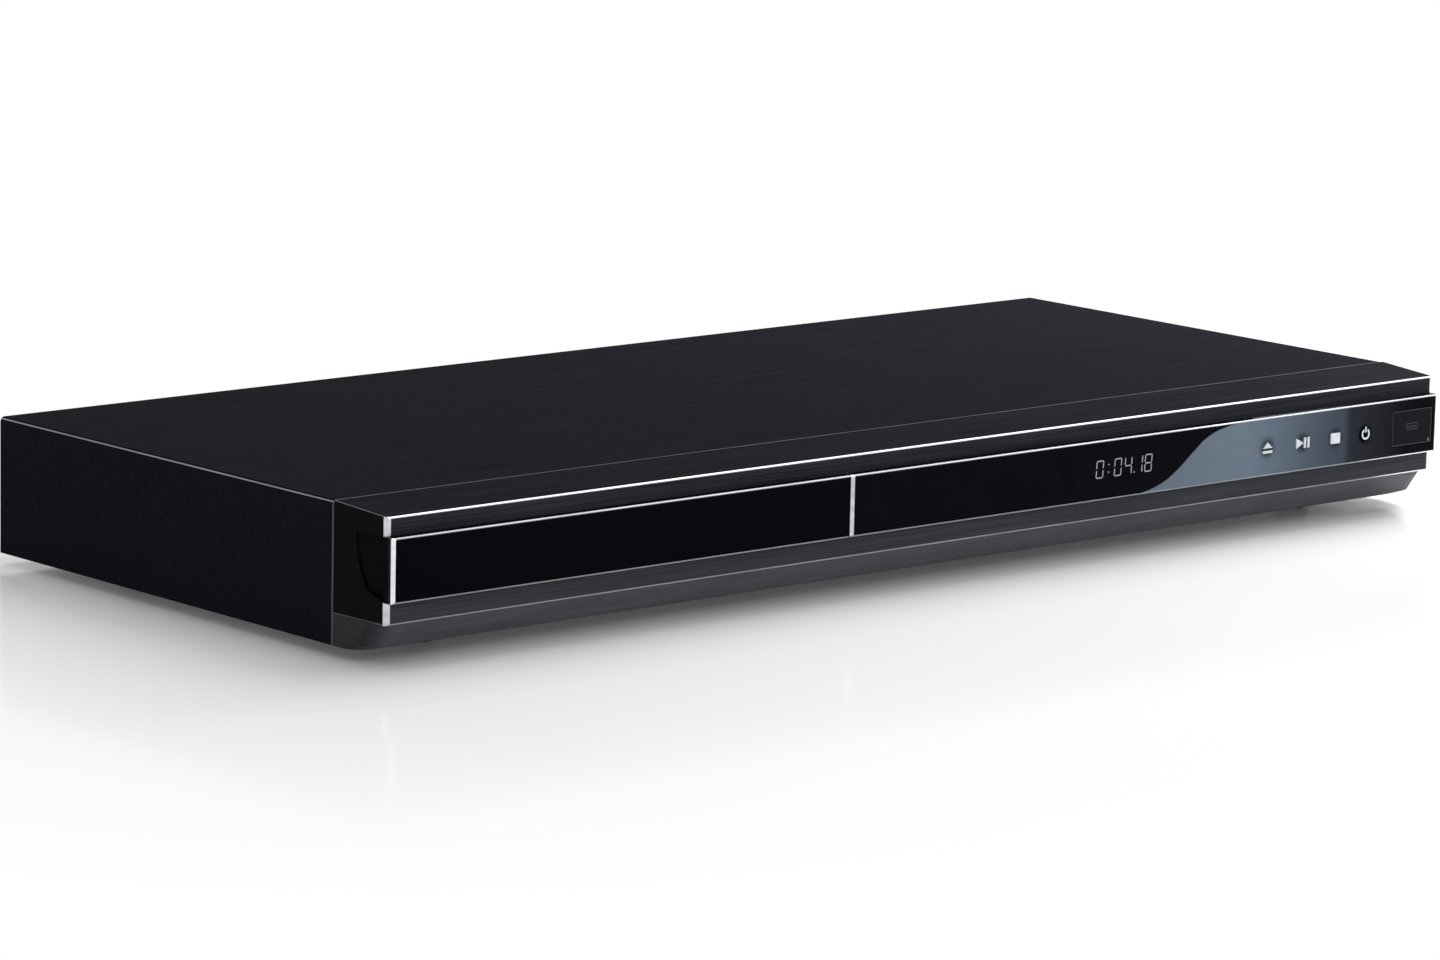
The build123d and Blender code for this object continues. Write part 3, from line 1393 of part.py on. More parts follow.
def main():
    os.makedirs("parts", exist_ok=True)
    write("front_fascia", front_fascia())
    write("silver_trims", corner_trims() + [window_end_trim(), divider_trim()])
    write("display_window", display_window())
    write("tray_bezel", tray_bezel())
    write("bezel_end_trim", bezel_end_trim())
    for kind in button_x:
        write(f"button_{kind}", push_button(kind))
    write("usb_flap", usb_flap())
    write("top_cover", top_cover())
    write("bottom_chassis", bottom_chassis())
    write("rear_panel", rear_panel())
    write("feet", [foot(side * foot_x, y) for side in (-1, 1) for y in foot_y])
    write("cover_screws", [rear_screw(x, z, cover_screw_length) for x, z in cover_screw_places()])
    write("disc_tray", disc_tray())
    write("loader_frame", loader_frame())
    write("loader_screws", loader_screws())
    write("clamper_bridge", clamper_bridge())
    write("clamper", clamper())
    write("clamper_magnet", clamper_magnet())
    write("loader_motor", loader_motor())
    write("motor_pulley", motor_pulley())
    write("drive_belt", drive_belt())
    write("pulley_gear", pulley_gear())
    write("drive_gear", drive_gear())
    write("cam_slider", cam_slider())
    write("traverse_frame", traverse_frame())
    write("spindle_motor", spindle_motor())
    write("turntable", turntable())
    write("turntable_pad", turntable_pad_ring())
    write("guide_rods", guide_rods())
    write("pickup_sled", pickup_sled())
    write("objective_lens", objective_lens())
    write("lead_screw", lead_screw())
    write("sled_motor", sled_motor())
    write("front_board", front_board())
    write("display_module", display_module())
    write("ir_receiver", ir_receiver())
    write("tact_switches", tact_switches())
    write("usb_socket", usb_socket())
    write("usb_board", usb_board())
    write("main_board", board_with_holes(main_board_x, main_board_y))
    write("power_board", board_with_holes(power_board_x, power_board_y))
    write("standoffs", standoffs())
    write("board_screws", board_screws() + front_board_screws())
    write("chips", [processor()] + memory_chips())
    write("heatsink", heatsink())
    write("loader_ribbon", loader_ribbon())
    write("transformer", transformer())
    write("mains_capacitor", mains_capacitor())
    write("power_parts", power_parts())
    write("hdmi_socket", hdmi_socket())
    write("lan_socket", lan_socket())
    write("optical_socket", optical_socket())
    write("optical_shutter", optical_shutter())
    write("rca_housing", rca_housing())
    write("rca_jacks", [rca_jack(x) for x in rca_x])
    write("rca_inserts", [rca_insert(x) for x in rca_x])
    write("mains_inlet", mains_inlet())


main()
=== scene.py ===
import math

import bmesh
import bpy
from mathutils import Matrix, Vector


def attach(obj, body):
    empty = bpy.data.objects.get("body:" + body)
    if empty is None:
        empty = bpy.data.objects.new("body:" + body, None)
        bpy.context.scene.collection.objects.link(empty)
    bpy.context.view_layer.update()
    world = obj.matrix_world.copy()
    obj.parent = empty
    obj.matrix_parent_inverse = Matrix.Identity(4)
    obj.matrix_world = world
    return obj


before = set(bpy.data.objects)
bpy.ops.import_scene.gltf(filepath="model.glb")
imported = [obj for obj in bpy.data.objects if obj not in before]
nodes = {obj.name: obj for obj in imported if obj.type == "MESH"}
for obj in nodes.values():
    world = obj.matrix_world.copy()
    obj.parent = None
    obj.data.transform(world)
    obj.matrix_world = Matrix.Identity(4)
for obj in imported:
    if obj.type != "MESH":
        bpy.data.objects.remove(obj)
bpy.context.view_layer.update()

mm = 0.001
print("frame loaded,", len(nodes), "nodes")


# Helpers

# An sRGB colour such as #808080 in linear light
def linearColour(hexColour):
    values = [int(hexColour[i:i + 2], 16) / 255 for i in (1, 3, 5)]
    return [v / 12.92 if v <= 0.04045 else ((v + 0.055) / 1.055) ** 2.4 for v in values] + [1]


def addNode(tree, kind, settings=None, values=None, links=None):
    node = tree.nodes.new(kind)
    for name, setting in (settings or {}).items():
        setattr(node, name, setting)
    for name, value in (values or {}).items():
        node.inputs[name].default_value = value
    for name, socket in (links or {}).items():
        tree.links.new(socket, node.inputs[name])
    return node


# A new material; returns it, its tree, its surface shader and the Object coordinates
def newMaterial(name, shaderValues):
    material = bpy.data.materials.new(name)
    material.use_nodes = True
    tree = material.node_tree
    tree.nodes.clear()
    shader = addNode(tree, "ShaderNodeBsdfPrincipled", values=shaderValues)
    addNode(tree, "ShaderNodeOutputMaterial", links={"Surface": shader.outputs[0]})
    place = addNode(tree, "ShaderNodeTexCoord").outputs["Object"]
    return material, tree, shader, place


# Noise whose cells are grain mm long on each axis
def grainNoise(tree, place, grain, detail=3.0):
    scale = [1 / (size * mm) for size in grain]
    mapping = addNode(tree, "ShaderNodeMapping", values={"Scale": scale}, links={"Vector": place})
    noise = addNode(tree, "ShaderNodeTexNoise", values={"Scale": 1.0, "Detail": detail},
                    links={"Vector": mapping.outputs[0]})
    return noise.outputs["Fac"]


# Maps a range to another, clamped; noise lies mostly between 0.3 and 0.7
def mapRange(tree, source, low, high, start=0.3, end=0.7):
    values = {"From Min": start, "From Max": end, "To Min": low, "To Max": high}
    return addNode(tree, "ShaderNodeMapRange", values=values, links={"Value": source}).outputs[0]


# Mixes two colours, each a hex colour or a socket; 6, 7 and 2 are the node's own colour sockets
def mixColours(tree, factor, first, second):
    mix = addNode(tree, "ShaderNodeMix", settings={"data_type": "RGBA"}, links={0: factor})
    for index, colour in ((6, first), (7, second)):
        if isinstance(colour, str):
            mix.inputs[index].default_value = linearColour(colour)
        else:
            tree.links.new(colour, mix.inputs[index])
    return mix.outputs[2]


def addMath(tree, operation, first, second=None):
    node = addNode(tree, "ShaderNodeMath", settings={"operation": operation})
    for index, source in enumerate((first, second)):
        if isinstance(source, (int, float)):
            node.inputs[index].default_value = source
        elif source is not None:
            tree.links.new(source, node.inputs[index])
    return node.outputs[0]


# The width, depth and height of a surface point in millimetres
def placeInMm(tree, place):
    scaled = addNode(tree, "ShaderNodeVectorMath", settings={"operation": "SCALE"},
                     values={"Scale": 1 / mm}, links={0: place})
    return addNode(tree, "ShaderNodeSeparateXYZ", links={0: scaled.outputs[0]}).outputs


# Half the width, in mm, of a crisp border between two tones
crisp = 0.05


# A second tone along an edge: where weighted width, depth and height, in mm, add up past a value
def edgeTone(tree, place, colour, look):
    axes = placeInMm(tree, place)
    sizes = (addMath(tree, "ABSOLUTE", axes[0]), axes[1], axes[2])
    weighted = [addMath(tree, "MULTIPLY", *pair) for pair in zip(sizes, look["weights"])]
    reach = addMath(tree, "ADD", addMath(tree, "ADD", weighted[0], weighted[1]), weighted[2])
    soft = look.get("soft", crisp)
    inside = mapRange(tree, reach, 0, 1, look["from"] - soft, look["from"] + soft)
    return mixColours(tree, inside, colour, look["colour"])


# The common finish: a base colour that drifts, roughness that drifts too, and a fine raised grain
def grainFinish(name, look):
    material, tree, shader, place = newMaterial(name, look["shader"])
    drift = grainNoise(tree, place, look["drift"])
    grain = grainNoise(tree, place, look["grain"], detail=5.0)
    colour = mixColours(tree, mapRange(tree, drift, 0, 1), look["dark"], look["light"])
    if "edge" in look:
        colour = edgeTone(tree, place, colour, look["edge"])
    tree.links.new(colour, shader.inputs["Base Color"])
    tree.links.new(mapRange(tree, grain, *look["rough"]), shader.inputs["Roughness"])
    raised = {"Strength": look["lift"], "Distance": look["relief"] * mm}
    bump = addNode(tree, "ShaderNodeBump", values=raised, links={"Height": grain})
    tree.links.new(bump.outputs[0], shader.inputs["Normal"])
    return material


# The close of a printed finish: a faint mottle in its colour, if any, and roughness that drifts
def mottleSurface(tree, shader, place, colour, look, socket="Base Color"):
    grain = grainNoise(tree, place, look["grain"])
    if "mottle" in look:
        share = mapRange(tree, grain, 0, look["mottle"])
        colour = mixColours(tree, share, colour, look["mottleColour"])
    tree.links.new(colour, shader.inputs[socket])
    tree.links.new(mapRange(tree, grain, *look["rough"]), shader.inputs["Roughness"])


# Distance of a surface point from a point of the front face, in millimetres
def frontDistance(tree, axes, x, z):
    across = addMath(tree, "POWER", addMath(tree, "SUBTRACT", axes[0], x), 2.0)
    upward = addMath(tree, "POWER", addMath(tree, "SUBTRACT", axes[2], z), 2.0)
    return addMath(tree, "SQRT", addMath(tree, "ADD", across, upward))


# How far a point of the front face lies outside a rectangle, negative inside it
def rectangleReach(tree, axes, centre, half):
    reach = []
    for axis, middle, size in ((axes[0], centre[0], half[0]), (axes[2], centre[1], half[1])):
        away = addMath(tree, "ABSOLUTE", addMath(tree, "SUBTRACT", axis, middle))
        reach.append(addMath(tree, "SUBTRACT", away, size))
    return addMath(tree, "MAXIMUM", reach[0], reach[1])


# Gives the faces of a CAD node that pass a test their own finish; the test gets the middle of a
# face in millimetres and its normal
def dressFaces(name, material, test):
    data = nodes[name].data
    data.materials.append(material)
    for face in data.polygons:
        if test(face.center / mm, face.normal):
            face.material_index = len(data.materials) - 1


# A mesh object made from a bmesh
def addObject(name, mesh, material):
    data = bpy.data.meshes.new(name)
    mesh.to_mesh(data)
    mesh.free()
    data.materials.append(material)
    made = bpy.data.objects.new(name, data)
    bpy.context.scene.collection.objects.link(made)
    return made


# A piece in the frame's own place, riding on a body
def addPiece(name, mesh, body, material):
    bmesh.ops.recalc_face_normals(mesh, faces=mesh.faces)
    piece = addObject(name, mesh, material)
    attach(piece, body)


# A box in a bmesh from its two corners, with its edges eased, all in millimetres
def addBar(mesh, low, high, ease=0.0):
    low, high = Vector(low) * mm, Vector(high) * mm
    place = Matrix.Translation((low + high) / 2) @ Matrix.Diagonal((*(high - low), 1))
    verts = bmesh.ops.create_cube(mesh, size=1, matrix=place)["verts"]
    if ease:
        edges = list({edge for vert in verts for edge in vert.link_edges})
        bmesh.ops.bevel(mesh, geom=edges, offset=ease * mm, offset_type="OFFSET", segments=2,
                        profile=0.5, affect="EDGES", material=-1)
    return verts


# Finishes

# A look has the shader's own values, two tones that drift over cells of a size in mm, a grain with
# its size in mm, the range of its roughness, its relief in mm with the share that shows, and, on
# some, an edge in a second tone

# Black-coated steel sheet: a matt lacquer over rolled sheet, with faint streaks along the width and a
# pale line of painted highlight along its front edge
coatedSteel = grainFinish("mattCoatedSteel", {
    "shader": {"IOR": 1.5, "Specular IOR Level": 0.0006},
    "dark": "#14151a", "light": "#1c1d21", "drift": (60, 0.9, 0.9),
    "grain": (25, 0.4, 0.4), "rough": (0.42, 0.56), "relief": 0.012, "lift": 0.35,
    "edge": {"weights": (0, -1, 0), "from": 72.6, "colour": "#5a5c60"},
})

# A painted highlight along a bend or a cut edge of the lacquer: a pale grey line
paintedEdgeHighlight = grainFinish("lacquerEdgeWithPaintedHighlight", {
    "shader": {"IOR": 1.5, "Specular IOR Level": 0.3},
    "dark": "#808287", "light": "#9a9ca1", "drift": (20, 20, 20),
    "grain": (8, 8, 8), "rough": (0.35, 0.5), "relief": 0.004, "lift": 0.2,
})

# Brushed black lacquer on the fascia's upper band: hairlines along the width that catch the light
brushedLacquer = grainFinish("brushedLacquerAbs", {
    "shader": {"IOR": 1.52, "Specular IOR Level": 0.03},
    "dark": "#1b1c20", "light": "#303136", "drift": (45, 0.5, 0.5),
    "grain": (18, 0.3, 0.3), "rough": (0.32, 0.5), "relief": 0.014, "lift": 0.4,
})

# The same lacquer on the fascia's top: hairlines that run into those of the cover, with a pale line
# of painted highlight along its two ends
brushedTop = grainFinish("brushedLacquerTop", {
    "shader": {"IOR": 1.52, "Specular IOR Level": 0.0006},
    "dark": "#121316", "light": "#232428", "drift": (45, 0.5, 0.5),
    "grain": (18, 0.3, 0.3), "rough": (0.36, 0.52), "relief": 0.014, "lift": 0.4,
    "edge": {"weights": (1, -0.042, 0), "from": 217.68, "colour": "#7a7c80"},
})

# The same lacquer on the lower band, where it is a shade lighter
lowerLacquer = grainFinish("brushedLacquerBand", {
    "shader": {"IOR": 1.52, "Specular IOR Level": 0.03},
    "dark": "#313237", "light": "#414247", "drift": (45, 0.5, 0.5),
    "grain": (18, 0.3, 0.3), "rough": (0.32, 0.5), "relief": 0.014, "lift": 0.4,
})

# Moulded ABS with a satin spark texture on the plinth: charcoal made lighter with painted light
# reflected from the floor, with a faint even grain, and darker round its ends with painted shade
satinAbs = grainFinish("satinMouldedAbs", {
    "shader": {"IOR": 1.52, "Specular IOR Level": 0.12},
    "dark": "#434449", "light": "#4f5055", "drift": (30, 2.0, 2.0),
    "grain": (0.6, 0.6, 0.6), "rough": (0.42, 0.56), "relief": 0.012, "lift": 0.3,
    "edge": {"weights": (1, 0, 0), "from": 212.4, "soft": 2.4, "colour": "#232428"},
})

# The fascia's sides: the same moulding, nearly black with painted shade, with a pale line of painted
# highlight along its lower edge
paintedShadeSide = grainFinish("mouldedAbsInPaintedShade", {
    "shader": {"IOR": 1.52, "Specular IOR Level": 0.02},
    "dark": "#060709", "light": "#0a0b0e", "drift": (20, 20, 2.0),
    "grain": (0.6, 0.6, 0.6), "rough": (0.42, 0.56), "relief": 0.012, "lift": 0.3,
    "edge": {"weights": (0, 0, -1), "from": -13.1, "colour": "#55575b"},
})

# Piano-gloss acrylic: deep black, mirror smooth with the slightest waviness
glossAcrylic = grainFinish("glossBlackAcrylic", {
    "shader": {"IOR": 1.49, "Specular IOR Level": 0.012},
    "dark": "#04060a", "light": "#080a0e", "drift": (80, 80, 80),
    "grain": (6, 6, 6), "rough": (0.05, 0.09), "relief": 0.002, "lift": 0.1,
})

# Edge of the fascia's top, cut back to bright metal film: a white line with a darker foot
cutEdge = grainFinish("diamondCutMetalFilm", {
    "shader": {"Metallic": 1.0},
    "dark": "#a9abb0", "light": "#bfc1c5", "drift": (30, 2, 2),
    "grain": (12, 0.5, 0.5), "rough": (0.2, 0.32), "relief": 0.004, "lift": 0.2,
    "edge": {"weights": (0, 0, -1), "from": -43.18, "colour": "#606266"},
})

# The same film along the gloss panel's top edge, a little greyer under the lacquer
filmEdge = grainFinish("lacqueredMetalFilm", {
    "shader": {"Metallic": 1.0},
    "dark": "#808286", "light": "#949699", "drift": (30, 2, 2),
    "grain": (12, 0.5, 0.5), "rough": (0.24, 0.36), "relief": 0.004, "lift": 0.2,
    "edge": {"weights": (0, 0, -1), "from": -37.62, "colour": "#3c3e42"},
})

# The same film where it faces the floor, left satin: a grey line
satinEdge = grainFinish("satinMetalFilm", {
    "shader": {"Metallic": 1.0},
    "dark": "#b9bbbf", "light": "#cfd1d4", "drift": (30, 2, 2),
    "grain": (12, 0.5, 0.5), "rough": (0.34, 0.46), "relief": 0.004, "lift": 0.2,
})

# Polished chrome-plated ABS: bright, nearly a mirror, with light rubbing
brightTrim = grainFinish("polishedChromePlate", {
    "shader": {"Metallic": 1.0},
    "dark": "#b4b7bc", "light": "#cfd2d6", "drift": (6, 2, 2),
    "grain": (4, 0.4, 0.4), "rough": (0.16, 0.26), "relief": 0.004, "lift": 0.2,
})

# The same plate on the gloss panel's end strips: brighter, with its outer third in the lacquer's
# shade
stripTrim = grainFinish("polishedEndStrip", {
    "shader": {"Metallic": 1.0},
    "dark": "#dcdfe4", "light": "#f0f2f5", "drift": (6, 2, 2),
    "grain": (4, 0.4, 0.4), "rough": (0.16, 0.26), "relief": 0.004, "lift": 0.2,
    "edge": {"weights": (1, 0, 0), "from": 214.02, "colour": "#18191c"},
})

# Milky polycarbonate key caps: white with a soft translucent look
keyWhite = grainFinish("milkyPolycarbonate", {
    "shader": {"IOR": 1.58, "Specular IOR Level": 0.4, "Subsurface Weight": 0.1,
               "Subsurface Scale": 0.0006},
    "dark": "#cfd4dc", "light": "#dfe4ea", "drift": (3, 3, 3),
    "grain": (0.5, 0.5, 0.5), "rough": (0.25, 0.35), "relief": 0.004, "lift": 0.3,
})

# Zinc-plated steel sheet: cool grey with a spangle and rolling streaks
zincSteel = grainFinish("zincPlatedSteel", {
    "shader": {"Metallic": 1.0},
    "dark": "#8d9296", "light": "#a9aeb2", "drift": (9, 7, 7),
    "grain": (14, 0.5, 0.5), "rough": (0.28, 0.46), "relief": 0.006, "lift": 0.3,
})

# Black powder coat on the rear panel: matte, with the orange peel of baked powder
powderCoat = grainFinish("blackPowderCoat", {
    "shader": {"IOR": 1.5, "Specular IOR Level": 0.3},
    "dark": "#17181a", "light": "#202124", "drift": (30, 30, 30),
    "grain": (0.7, 0.7, 0.7), "rough": (0.5, 0.66), "relief": 0.03, "lift": 0.5,
})

# Vulcanised rubber: dull charcoal with a powdery bloom
rubber = grainFinish("vulcanisedRubber", {
    "shader": {"IOR": 1.52, "Specular IOR Level": 0.25},
    "dark": "#17181a", "light": "#232427", "drift": (5, 5, 5),
    "grain": (0.4, 0.4, 0.4), "rough": (0.7, 0.88), "relief": 0.03, "lift": 0.5,
})

# Black-oxide screws: dark steel with worn bright edges of the cross
screwSteel = grainFinish("blackOxideSteel", {
    "shader": {"Metallic": 1.0},
    "dark": "#4b4d50", "light": "#6a6d71", "drift": (1.5, 1.5, 1.5),
    "grain": (0.5, 0.5, 0.5), "rough": (0.3, 0.45), "relief": 0.006, "lift": 0.4,
})

# Glass-filled moulded ABS of the mechanism: matte black, slightly mottled
mechanismAbs = grainFinish("mouldedBlackAbs", {
    "shader": {"IOR": 1.52, "Specular IOR Level": 0.35},
    "dark": "#141517", "light": "#1e1f22", "drift": (12, 12, 12),
    "grain": (0.6, 0.6, 0.6), "rough": (0.5, 0.64), "relief": 0.02, "lift": 0.4,
})

# Acetal gears: waxy off-white
acetal = grainFinish("mouldedAcetal", {
    "shader": {"IOR": 1.48, "Specular IOR Level": 0.4, "Subsurface Weight": 0.15,
               "Subsurface Scale": 0.0008},
    "dark": "#d2cfc4", "light": "#e3e1d8", "drift": (6, 6, 6),
    "grain": (0.5, 0.5, 0.5), "rough": (0.4, 0.52), "relief": 0.008, "lift": 0.3,
})

# Nickel-plated motor cans and sockets: clean bright steel with drawing marks
nickelSteel = grainFinish("nickelPlatedSteel", {
    "shader": {"Metallic": 1.0},
    "dark": "#9b9a96", "light": "#bdbcb8", "drift": (5, 5, 5),
    "grain": (0.4, 3, 0.4), "rough": (0.2, 0.34), "relief": 0.005, "lift": 0.3,
})

# Glass-filled PPS of the pickup: grey, gritty
pickupPps = grainFinish("glassFilledPps", {
    "shader": {"IOR": 1.6, "Specular IOR Level": 0.35},
    "dark": "#3a3b3e", "light": "#4a4b4f", "drift": (4, 4, 4),
    "grain": (0.3, 0.3, 0.3), "rough": (0.5, 0.62), "relief": 0.02, "lift": 0.4,
})

# Coated pickup lens: blue-violet bloom on clear glass
lensGlass = grainFinish("coatedOpticalGlass", {
    "shader": {"IOR": 1.6, "Coat Weight": 1.0, "Coat Roughness": 0.02,
               "Coat Tint": linearColour("#8f9cff")},
    "dark": "#2b3560", "light": "#3c4a86", "drift": (2, 2, 2),
    "grain": (2, 2, 2), "rough": (0.03, 0.06), "relief": 0.0005, "lift": 0.1,
})

# Smoked glass of the display: nearly black, with a green cast
displayGlass = grainFinish("smokedDisplayGlass", {
    "shader": {"IOR": 1.52, "Specular IOR Level": 0.5},
    "dark": "#0d1214", "light": "#151b1e", "drift": (10, 10, 10),
    "grain": (3, 3, 3), "rough": (0.06, 0.1), "relief": 0.001, "lift": 0.1,
})

# Extruded aluminium of the heatsink: pale, with die lines along its length
extrudedAluminium = grainFinish("extrudedAluminium", {
    "shader": {"Metallic": 1.0},
    "dark": "#a3a6a8", "light": "#bfc2c4", "drift": (8, 30, 8),
    "grain": (0.4, 20, 0.4), "rough": (0.3, 0.42), "relief": 0.008, "lift": 0.3,
})

# PET ribbon cable: bluish white, with faint bands across its wires
ribbonPet = grainFinish("petRibbon", {
    "shader": {"IOR": 1.57, "Specular IOR Level": 0.4},
    "dark": "#c5c9cd", "light": "#dfe2e5", "drift": (40, 1.0, 40),
    "grain": (20, 0.5, 20), "rough": (0.3, 0.4), "relief": 0.02, "lift": 0.4,
})

# PVC sleeves of the power board's parts: dark blue-black with a soft gloss
sleevedPart = grainFinish("pvcSleeve", {
    "shader": {"IOR": 1.53, "Specular IOR Level": 0.4},
    "dark": "#16181f", "light": "#232733", "drift": (6, 6, 20),
    "grain": (2, 2, 2), "rough": (0.26, 0.38), "relief": 0.01, "lift": 0.3,
})

# Solder mask over copper: green with lighter tracks
solderMask = grainFinish("greenSolderMask", {
    "shader": {"IOR": 1.55, "Specular IOR Level": 0.45},
    "dark": "#0f3d24", "light": "#1c5a37", "drift": (3, 0.7, 3),
    "grain": (0.6, 3, 0.6), "rough": (0.25, 0.4), "relief": 0.02, "lift": 0.4,
})

# Polyester tape round the transformer's winding: warm yellow with a soft gloss
windingTape = grainFinish("polyesterWindingTape", {
    "shader": {"IOR": 1.6, "Specular IOR Level": 0.4},
    "dark": "#b08a1e", "light": "#cda733", "drift": (8, 8, 2.0),
    "grain": (6, 6, 0.8), "rough": (0.25, 0.38), "relief": 0.02, "lift": 0.4,
})

# Bare aluminium at the top of a capacitor's can: pale, softly bright
canAluminium = grainFinish("drawnAluminiumCan", {
    "shader": {"Metallic": 1.0},
    "dark": "#a9abad", "light": "#c6c8ca", "drift": (3, 3, 3),
    "grain": (1.2, 1.2, 1.2), "rough": (0.3, 0.42), "relief": 0.006, "lift": 0.3,
})

# Enamelled copper wire of the coil: warm brown turns, about 1 mm apart
enamelledCopper = grainFinish("enamelledCopperWire", {
    "shader": {"Metallic": 1.0},
    "dark": "#8a3f1c", "light": "#c06a36", "drift": (12, 1.0, 1.0),
    "grain": (10, 0.9, 0.9), "rough": (0.26, 0.38), "relief": 0.1, "lift": 0.6,
})

# Glazed ceramic of the fuse and the chip capacitors: creamy white
fuseCeramic = grainFinish("glazedCeramic", {
    "shader": {"IOR": 1.55, "Specular IOR Level": 0.5},
    "dark": "#d6d2c8", "light": "#e8e5dd", "drift": (5, 5, 5),
    "grain": (2, 2, 2), "rough": (0.2, 0.3), "relief": 0.004, "lift": 0.2,
})

# Gold flash on the contacts: warm and bright, drawn along their length
goldFlash = grainFinish("goldFlashedContacts", {
    "shader": {"Metallic": 1.0},
    "dark": "#c9993a", "light": "#e2b95c", "drift": (1, 1, 1),
    "grain": (0.4, 2, 0.4), "rough": (0.18, 0.3), "relief": 0.004, "lift": 0.2,
})

# Tin plate on the legs of the chips: pale, softly bright
tinPlate = grainFinish("tinPlatedCopper", {
    "shader": {"Metallic": 1.0},
    "dark": "#a7a8aa", "light": "#c7c8c9", "drift": (1, 1, 1),
    "grain": (0.6, 0.6, 0.6), "rough": (0.25, 0.4), "relief": 0.01, "lift": 0.3,
})

# Ferrite and epoxy: dark grey, finely pitted
ferrite = grainFinish("pressedFerrite", {
    "shader": {"IOR": 1.6, "Specular IOR Level": 0.3},
    "dark": "#1c1c1e", "light": "#2a2a2d", "drift": (2, 2, 2),
    "grain": (0.3, 0.3, 0.3), "rough": (0.55, 0.7), "relief": 0.02, "lift": 0.4,
})

# Moulded epoxy of the chips: black, very fine sparkle
chipEpoxy = grainFinish("mouldedChipEpoxy", {
    "shader": {"IOR": 1.55, "Specular IOR Level": 0.35},
    "dark": "#151618", "light": "#1f2023", "drift": (3, 3, 3),
    "grain": (0.3, 0.3, 0.3), "rough": (0.45, 0.6), "relief": 0.012, "lift": 0.4,
})

# The painted reflection that sweeps up beside the display: its edge as height and width in mm, and
# its tint along the width. A ring of painted shade lies round each key, between two radii in mm
paintedReflectionLook = {
    "shader": {"IOR": 1.49, "Specular IOR Level": 0.015},
    "edge": [(19.2, 74.0), (20.0, 81.0), (22.0, 88.5), (25.1, 94.5), (30.4, 101.9), (34.6, 108.5),
             (36.6, 115.0), (37.9, 130.0)],
    "tints": [(80, "#66727e"), (100, "#6a7682"), (125, "#6d7986"), (145, "#5b6774"), (160, "#4a535d"),
              (170, "#404954"), (173, "#2b2d34"), (190, "#1d1e23"), (200, "#0a0a0d")],
    "soft": 0.35, "ground": "#05070b",
    "keys": (135.0, 151.0, 166.0, 180.0), "keyHeight": 28.3, "ring": (2.0, 4.0), "ringShade": 0.35,
    "grain": (6, 6, 6), "mottle": 0.06, "mottleColour": "#2a2f38", "rough": (0.05, 0.09),
}


# Gloss acrylic with a reflection painted on it as a lighter band, and painted shade round the keys
def paintedReflectionFinish(name, look):
    material, tree, shader, place = newMaterial(name, look["shader"])
    axes = placeInMm(tree, place)

    (lowZ, lowX), (highZ, highX) = look["edge"][0], look["edge"][-1]
    height = mapRange(tree, axes[2], 0, 1, lowZ, highZ)
    curve = addNode(tree, "ShaderNodeFloatCurve", links={"Value": height})
    for z, x in look["edge"][1:-1]:
        curve.mapping.curves[0].points.new((z - lowZ) / (highZ - lowZ), (x - lowX) / (highX - lowX))
    curve.mapping.update()
    edge = mapRange(tree, curve.outputs[0], lowX, highX, 0, 1)
    past = addMath(tree, "SUBTRACT", axes[0], edge)
    inReflection = mapRange(tree, past, 0, 1, -look["soft"], look["soft"])

    (start, startTint), (end, endTint) = look["tints"][0], look["tints"][-1]
    along = mapRange(tree, axes[0], 0, 1, start, end)
    ramp = addNode(tree, "ShaderNodeValToRGB", links={0: along})
    stops = ramp.color_ramp.elements
    for x, tint in look["tints"][1:-1]:
        stops.new((x - start) / (end - start)).color = linearColour(tint)
    stops[0].color = linearColour(startTint)
    stops[-1].color = linearColour(endTint)

    # Rings of painted shade round the keys
    distances = [frontDistance(tree, axes, x, look["keyHeight"]) for x in look["keys"]]
    nearest = distances[0]
    for distance in distances[1:]:
        nearest = addMath(tree, "MINIMUM", nearest, distance)
    clear = mapRange(tree, nearest, look["ringShade"], 1, *look["ring"])
    share = addMath(tree, "MULTIPLY", inReflection, clear)
    tinted = mixColours(tree, share, look["ground"], ramp.outputs[0])
    mottleSurface(tree, shader, place, tinted, look)
    return material


paintedReflectionAcrylic = paintedReflectionFinish("acrylicWithPaintedReflection", paintedReflectionLook)

# The flap: the same gloss, with a faint line of painted highlight round its edge and a faint printed
# plain port sign. An outline has a centre, a half size and a line in mm; the sign's tongue is all
# line
flapLook = {
    "shader": {"IOR": 1.49, "Specular IOR Level": 0.04},
    "outlines": {
        "border": {"centre": (202.2, 28.4), "half": (9.0, 5.7), "line": 0.3},
        "sign": {"centre": (202.2, 28.7), "half": (2.6, 1.1), "line": 0.3},
        "tongue": {"centre": (202.2, 28.6), "half": (1.7, 0.25), "line": 1.0},
    },
    "ground": "#15161a", "print": "#3d3f45", "grain": (6, 6, 6), "rough": (0.06, 0.12),
}


def flapFinish(name, look):
    material, tree, shader, place = newMaterial(name, look["shader"])
    axes = placeInMm(tree, place)
    printed = 0.0
    for outline in look["outlines"].values():
        reach = rectangleReach(tree, axes, outline["centre"], outline["half"])
        inset = addMath(tree, "ADD", reach, outline["line"])
        inside, core = (mapRange(tree, edge, 1, 0, -crisp, crisp) for edge in (reach, inset))
        line = addMath(tree, "SUBTRACT", inside, core)
        printed = addMath(tree, "MAXIMUM", line, printed)
    colour = mixColours(tree, printed, look["ground"], look["print"])
    mottleSurface(tree, shader, place, colour, look)
    return material


flapAcrylic = flapFinish("flapAcrylicWithPrintAndHighlight", flapLook)

# Moulded jack inserts, one colour for each signal: yellow for video, white and red for sound
insertLook = {
    "shader": {"IOR": 1.5, "Specular IOR Level": 0.4},
    "colours": ("#c9a90f", "#dcdcd8", "#b3161a"), "between": (-17.5, -4.5),
    "grain": (0.5, 0.5, 0.5), "mottle": 0.12, "mottleColour": "#3a3a3a", "rough": (0.28, 0.42),
}


